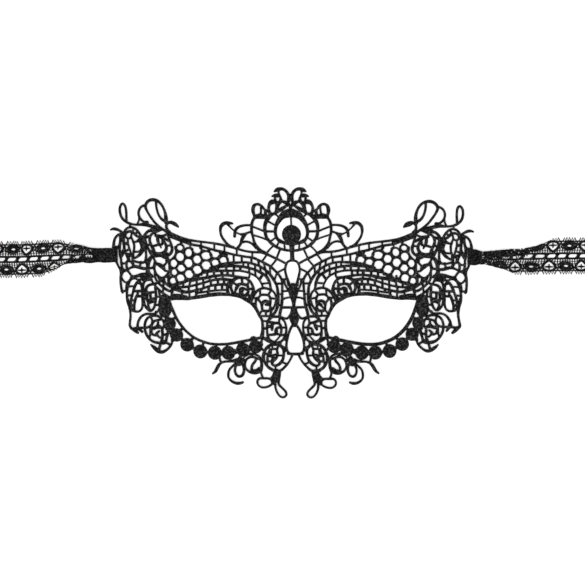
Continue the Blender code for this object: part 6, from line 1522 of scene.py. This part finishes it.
# %% [markdown]
# Beyond the pleats the drawn trim begins. It is swept flat first, and then lay() says where every point of
# its threads goes, so a fold bends the threads and leaves their thickness alone. Near the mask, where the
# cloth is pressed, its threads spread a little.

# %% Weave both ties
TRIM_END = 396.0
TRIM_OVERLAP = 3.0
PRESSED, PRESSED_WIDER = 25.0, 0.6
THREAD_MIDDLE = 0.34
THREAD_STAGGER, THREAD_STEPS = 0.015, 4
THREAD_SEED = 0.9
THREAD_LOW, THREAD_GROWTH, THREAD_TALL = 0.2, 0.4, 0.55
FINE_THREAD = 0.8


def thread_height(width):
    """How tall a ribbon thread of this width stands, in millimetres."""
    return min(THREAD_TALL, THREAD_LOW + THREAD_GROWTH * width)


def weave(name, node, ribbon, wheel_at, lower_shift, slot_at, out_to, half, pinch):
    """Sweeps a ribbon's drawing flat, lays every point where the ribbon takes it, and adds the pleats."""
    lace = trim(out_to - TRIM_OVERLAP, TRIM_END, wheel_at, lower_shift, slot_at, 0.5 * ribbon.side)
    shapes = []
    for number, (points, widths) in enumerate(lace.cords):
        if points[0][0] < PRESSED and points[-1][0] < PRESSED:
            widths = [w + PRESSED_WIDER for w in widths]
        sides = 6 if widths[0] > FINE_THREAD else 4
        base = THREAD_MIDDLE + THREAD_STAGGER * (number % THREAD_STEPS)
        shapes.append(sweep(points, widths, sides, thread_height, base, THREAD_SEED * number))
    part = gather_up(shapes, name)
    for v in part.data.vertices:
        v.co = ribbon.lay(*v.co)
    piece = join([part, pleated_end(ribbon, out_to, half, pinch)], name)
    for v in piece.data.vertices:
        v.co *= MM
    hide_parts(node)
    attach(piece, "root")
    describe(piece)
    return piece


tie_left = weave("tie_left", "ribbon_left", left, wheel_at=35.4, lower_shift=3.1, slot_at=29.8,
                 out_to=12.5, half=4.7, pinch=0.0)
tie_right = weave("tie_right", "ribbon_right", right, wheel_at=53.2, lower_shift=-2.9, slot_at=37.3,
                  out_to=5.8, half=5.1, pinch=0.22)

# %% [markdown]
# ## Finishes
#
# Both threads are black, and black is hard to show: what tells one from the other is how light runs over it.
# Satin stitch is smooth thread laid side by side, so it has fine ridges square across the cord and a soft
# shine along them. The trim's thread is duller. A finish could be wired by hand in the shader editor, but
# its maths is easier to read as a sum. So a small class wraps a node's socket, and Python's own signs add the
# Math nodes.

# %% Write shader maths as sums
class Wire:
    """One output socket of a material, which can be added, multiplied and so on."""

    def __init__(self, finish, socket):
        self.finish = finish
        self.socket = socket

    def maths(self, operation, a, b=0.0):
        return self.finish.node("ShaderNodeMath", {"operation": operation}, {0: a, 1: b})

    def __add__(self, other):
        return self.maths("ADD", self, other)

    def __radd__(self, other):
        return self.maths("ADD", other, self)

    def __sub__(self, other):
        return self.maths("SUBTRACT", self, other)

    def __rsub__(self, other):
        return self.maths("SUBTRACT", other, self)

    def __mul__(self, other):
        return self.maths("MULTIPLY", self, other)

    def __rmul__(self, other):
        return self.maths("MULTIPLY", other, self)

    def __truediv__(self, other):
        return self.maths("DIVIDE", self, other)

    def fraction(self):
        return self.maths("FRACT", self)

    def clamped(self):
        return self.finish.node("ShaderNodeClamp", {}, {"Value": self})


class Finish:
    """A material in the making: node() adds any node and joins what it is given."""

    def __init__(self, name):
        self.material = bpy.data.materials.new(name)
        self.material.use_nodes = True
        self.tree = self.material.node_tree
        self.shader = self.tree.nodes["Principled BSDF"]

    def feed(self, socket, value):
        """Joins a wire to a socket, or sets a plain value on it."""
        if isinstance(value, Wire):
            self.tree.links.new(value.socket, socket)
        else:
            socket.default_value = value

    def node(self, kind, settings=None, inputs=None, out=0):
        """Adds a node: its settings first, then the values or wires of its sockets."""
        made = self.tree.nodes.new(kind)
        for key, value in (settings or {}).items():
            setattr(made, key, value)
        for key, value in (inputs or {}).items():
            self.feed(made.inputs[key], value)
        return Wire(self, made.outputs[out])

    def shade(self, inputs):
        """Feeds the sockets of the surface shader."""
        for key, value in inputs.items():
            self.feed(self.shader.inputs[key], value)

    def place(self):
        """Where a point is, in metres."""
        return self.node("ShaderNodeTexCoord", out=3)

    def noise(self, place, scale, detail=2.0):
        return self.node("ShaderNodeTexNoise", {}, {"Vector": place, "Scale": scale, "Detail": detail})

    def blend(self, share, a, b):
        """A colour between a and b."""
        return self.node("ShaderNodeMix", {"data_type": "RGBA"}, {0: share, 6: a, 7: b}, out=2)

    def wear(self, *pieces):
        """Puts the finish on some pieces."""
        for piece in pieces:
            piece.data.materials.clear()
            piece.data.materials.append(self.material)


trial_finish = Finish("trial")
trial_wire = 2.0 * trial_finish.noise(trial_finish.place(), 1.0) + 1.0
print("a noise, doubled and raised by one, takes", len(trial_finish.tree.nodes) - 2, "nodes and ends in",
      trial_wire.socket.node.name)
bpy.data.materials.remove(trial_finish.material)

# %% [markdown]
# Black thread is never one black. Worn patches are a little lighter, and inside them the top of each ridge
# and the loose fibres are painted lighter still, a painted highlight that leaves the grooves darker as
# painted shade.
# A stripe pattern across the run gives the ridges: the run is cut into pitches, and each pitch rises and
# falls once. A little noise shifts it, so that no stitch is quite straight. The same ridges go into the bump.
# They could be real geometry, but there are thousands of stitches, each under half a millimetre wide.

# %% Mix the two threads
BLACK = (0.003, 0.003, 0.0035, 1.0)
PATCH_SCALE = 950.0
FIBRE_SCALE = 2600.0
SHIFT_SCALE = 900.0
SHIFT = 0.35
WORN_CONTRAST, WORN_START = 13.0, 6.85
# LIGHT_SHARE sets the lighter tone of worn patches, and the same share again as painted highlight on ridge
# tops and on fibres
LIGHT_SHARE = 0.4
ROUGH_PATCHES, ROUGH_GROOVES = 0.3, 0.1
FIBRE_BUMP = 0.35
BUMP_STRENGTH = 0.9
SHEEN, SHEEN_ROUGHNESS = 0.03, 0.4


def thread_finish(name, worn_and_highlight_tone, pitch, depth, rough, shine):
    """Black thread: ridges of thread across the run, worn patches a little lighter or duller, and painted
    highlight on the ridges.
    """
    thread = Finish(name)
    place = thread.place()
    run = thread.node("ShaderNodeAttribute", {"attribute_name": "run"}, out=2)
    patches = thread.noise(place, PATCH_SCALE)
    fibres = thread.noise(place, FIBRE_SCALE)
    shift = SHIFT * thread.noise(place, SHIFT_SCALE)
    worn = (WORN_CONTRAST * patches - WORN_START).clamped()
    across = 2.0 * ((run / pitch + shift).fraction()) - 1.0
    ridge = 1.0 - across * across
    # Painted highlight: ridge tops and loose fibres are painted lighter inside the worn patches, so the
    # grooves read darker as painted shade
    tone_with_painted_highlight = LIGHT_SHARE + LIGHT_SHARE * ridge + LIGHT_SHARE * fibres
    height = ridge + FIBRE_BUMP * fibres
    # The base colour carries the painted highlight of the ridges and fibres
    thread.shade({
        "Base Color": thread.blend(worn * tone_with_painted_highlight, BLACK, worn_and_highlight_tone),
        "Roughness": rough + ROUGH_PATCHES * (patches - 0.5) + ROUGH_GROOVES * (1.0 - ridge),
        "Normal": thread.node("ShaderNodeBump", {}, {"Height": height, "Strength": BUMP_STRENGTH,
                                                     "Distance": depth}),
        "Specular IOR Level": shine,
        "Sheen Weight": SHEEN,
        "Sheen Roughness": SHEEN_ROUGHNESS})
    print(name, "has", len(thread.tree.nodes), "nodes")
    return thread


satin = thread_finish("satin_thread", worn_and_highlight_tone=(0.076, 0.074, 0.076, 1.0),
                      pitch=0.42, depth=0.00012, rough=0.5, shine=0.14)
satin.wear(mask_lace)
woven = thread_finish("woven_thread", worn_and_highlight_tone=(0.056, 0.054, 0.056, 1.0),
                      pitch=0.33, depth=0.00008, rough=0.65, shine=0.1)
woven.wear(tie_left, tie_right)

# %% [markdown]
# ## Floor, light and camera
#
# The mask lies on a plain pale surface that the light makes almost white. A white world behind the object
# would be simpler, but then nothing would catch the soft shadow that tells how thick the lace is. The floor
# glows a little by itself, which keeps it pale in the narrow holes, where less light reaches it.

# %% Floor
FLOOR_REACH = 3.0
FLOOR_GLOW = 0.44
GRAIN_SCALE = 40.0
PALE, PALER = (0.90, 0.90, 0.90, 1.0), (0.93, 0.93, 0.93, 1.0)

slab = bmesh.new()
bmesh.ops.create_grid(slab, x_segments=1, y_segments=1, size=FLOOR_REACH)
floor = as_object(slab, "floor")
paper = Finish("pale_floor")
grain = paper.noise(paper.place(), GRAIN_SCALE)
paper.shade({
    "Base Color": paper.blend(grain, PALE, PALER),
    "Roughness": 0.9,
    "Emission Color": (1.0, 1.0, 1.0, 1.0),
    "Emission Strength": FLOOR_GLOW,
    "Specular IOR Level": 0.1})
paper.wear(floor)
print("the floor is", [round(c, 1) for c in floor.dimensions], "m")

# %% [markdown]
# The light is a bright even sky with one broad sun. A small lamp would draw hard shadows beside every cord,
# and lace has so many cords that their shadows would fill its holes. A sun as wide as a cloudy sky gives the
# cords a soft shape and only a faint shadow.

# %% Light
SKY_STRENGTH = 0.6
SUN_STRENGTH = 1.0
SUN_WIDTH = math.radians(70)
SUN_TURN = (math.radians(32), math.radians(-24), 0.0)

world = bpy.data.worlds.new("sky")
world.use_nodes = True
sky = world.node_tree.nodes["Background"]
sky.inputs["Color"].default_value = (1.0, 1.0, 1.0, 1.0)
sky.inputs["Strength"].default_value = SKY_STRENGTH
bpy.context.scene.world = world

sun_data = bpy.data.lights.new("broad_sun", "SUN")
sun_data.energy = SUN_STRENGTH
sun_data.angle = SUN_WIDTH
sun = bpy.data.objects.new("broad_sun", sun_data)
sun.rotation_euler = SUN_TURN
bpy.context.scene.collection.objects.link(sun)
bpy.context.scene.view_settings.view_transform = "Standard"
print("sun strength", sun_data.energy)

# %% [markdown]
# The camera looks straight down, like one on a copying stand. A camera that is made unturned already looks
# down its own -Z, so it only needs a place. Its distance is worked out from how much of the table the
# picture shows: the picture is to the distance as the sensor is to the lens.

# %% Camera, straight above
LENS = 0.085
SENSOR = 0.036
VIEW_WIDTH = 0.3826
CAMERA_ASIDE = (-0.00062, 0.00021)

camera_data = bpy.data.cameras.new("camera")
camera_data.lens = 1000 * LENS
camera_data.sensor_width = 1000 * SENSOR
camera_data.clip_end = 20.0
camera = bpy.data.objects.new("camera", camera_data)
distance = VIEW_WIDTH * LENS / SENSOR
camera.location = (*CAMERA_ASIDE, LACE_THICKNESS + distance)
bpy.context.scene.collection.objects.link(camera)
bpy.context.scene.camera = camera
print("the camera is", round(distance, 3), "m above the lace")
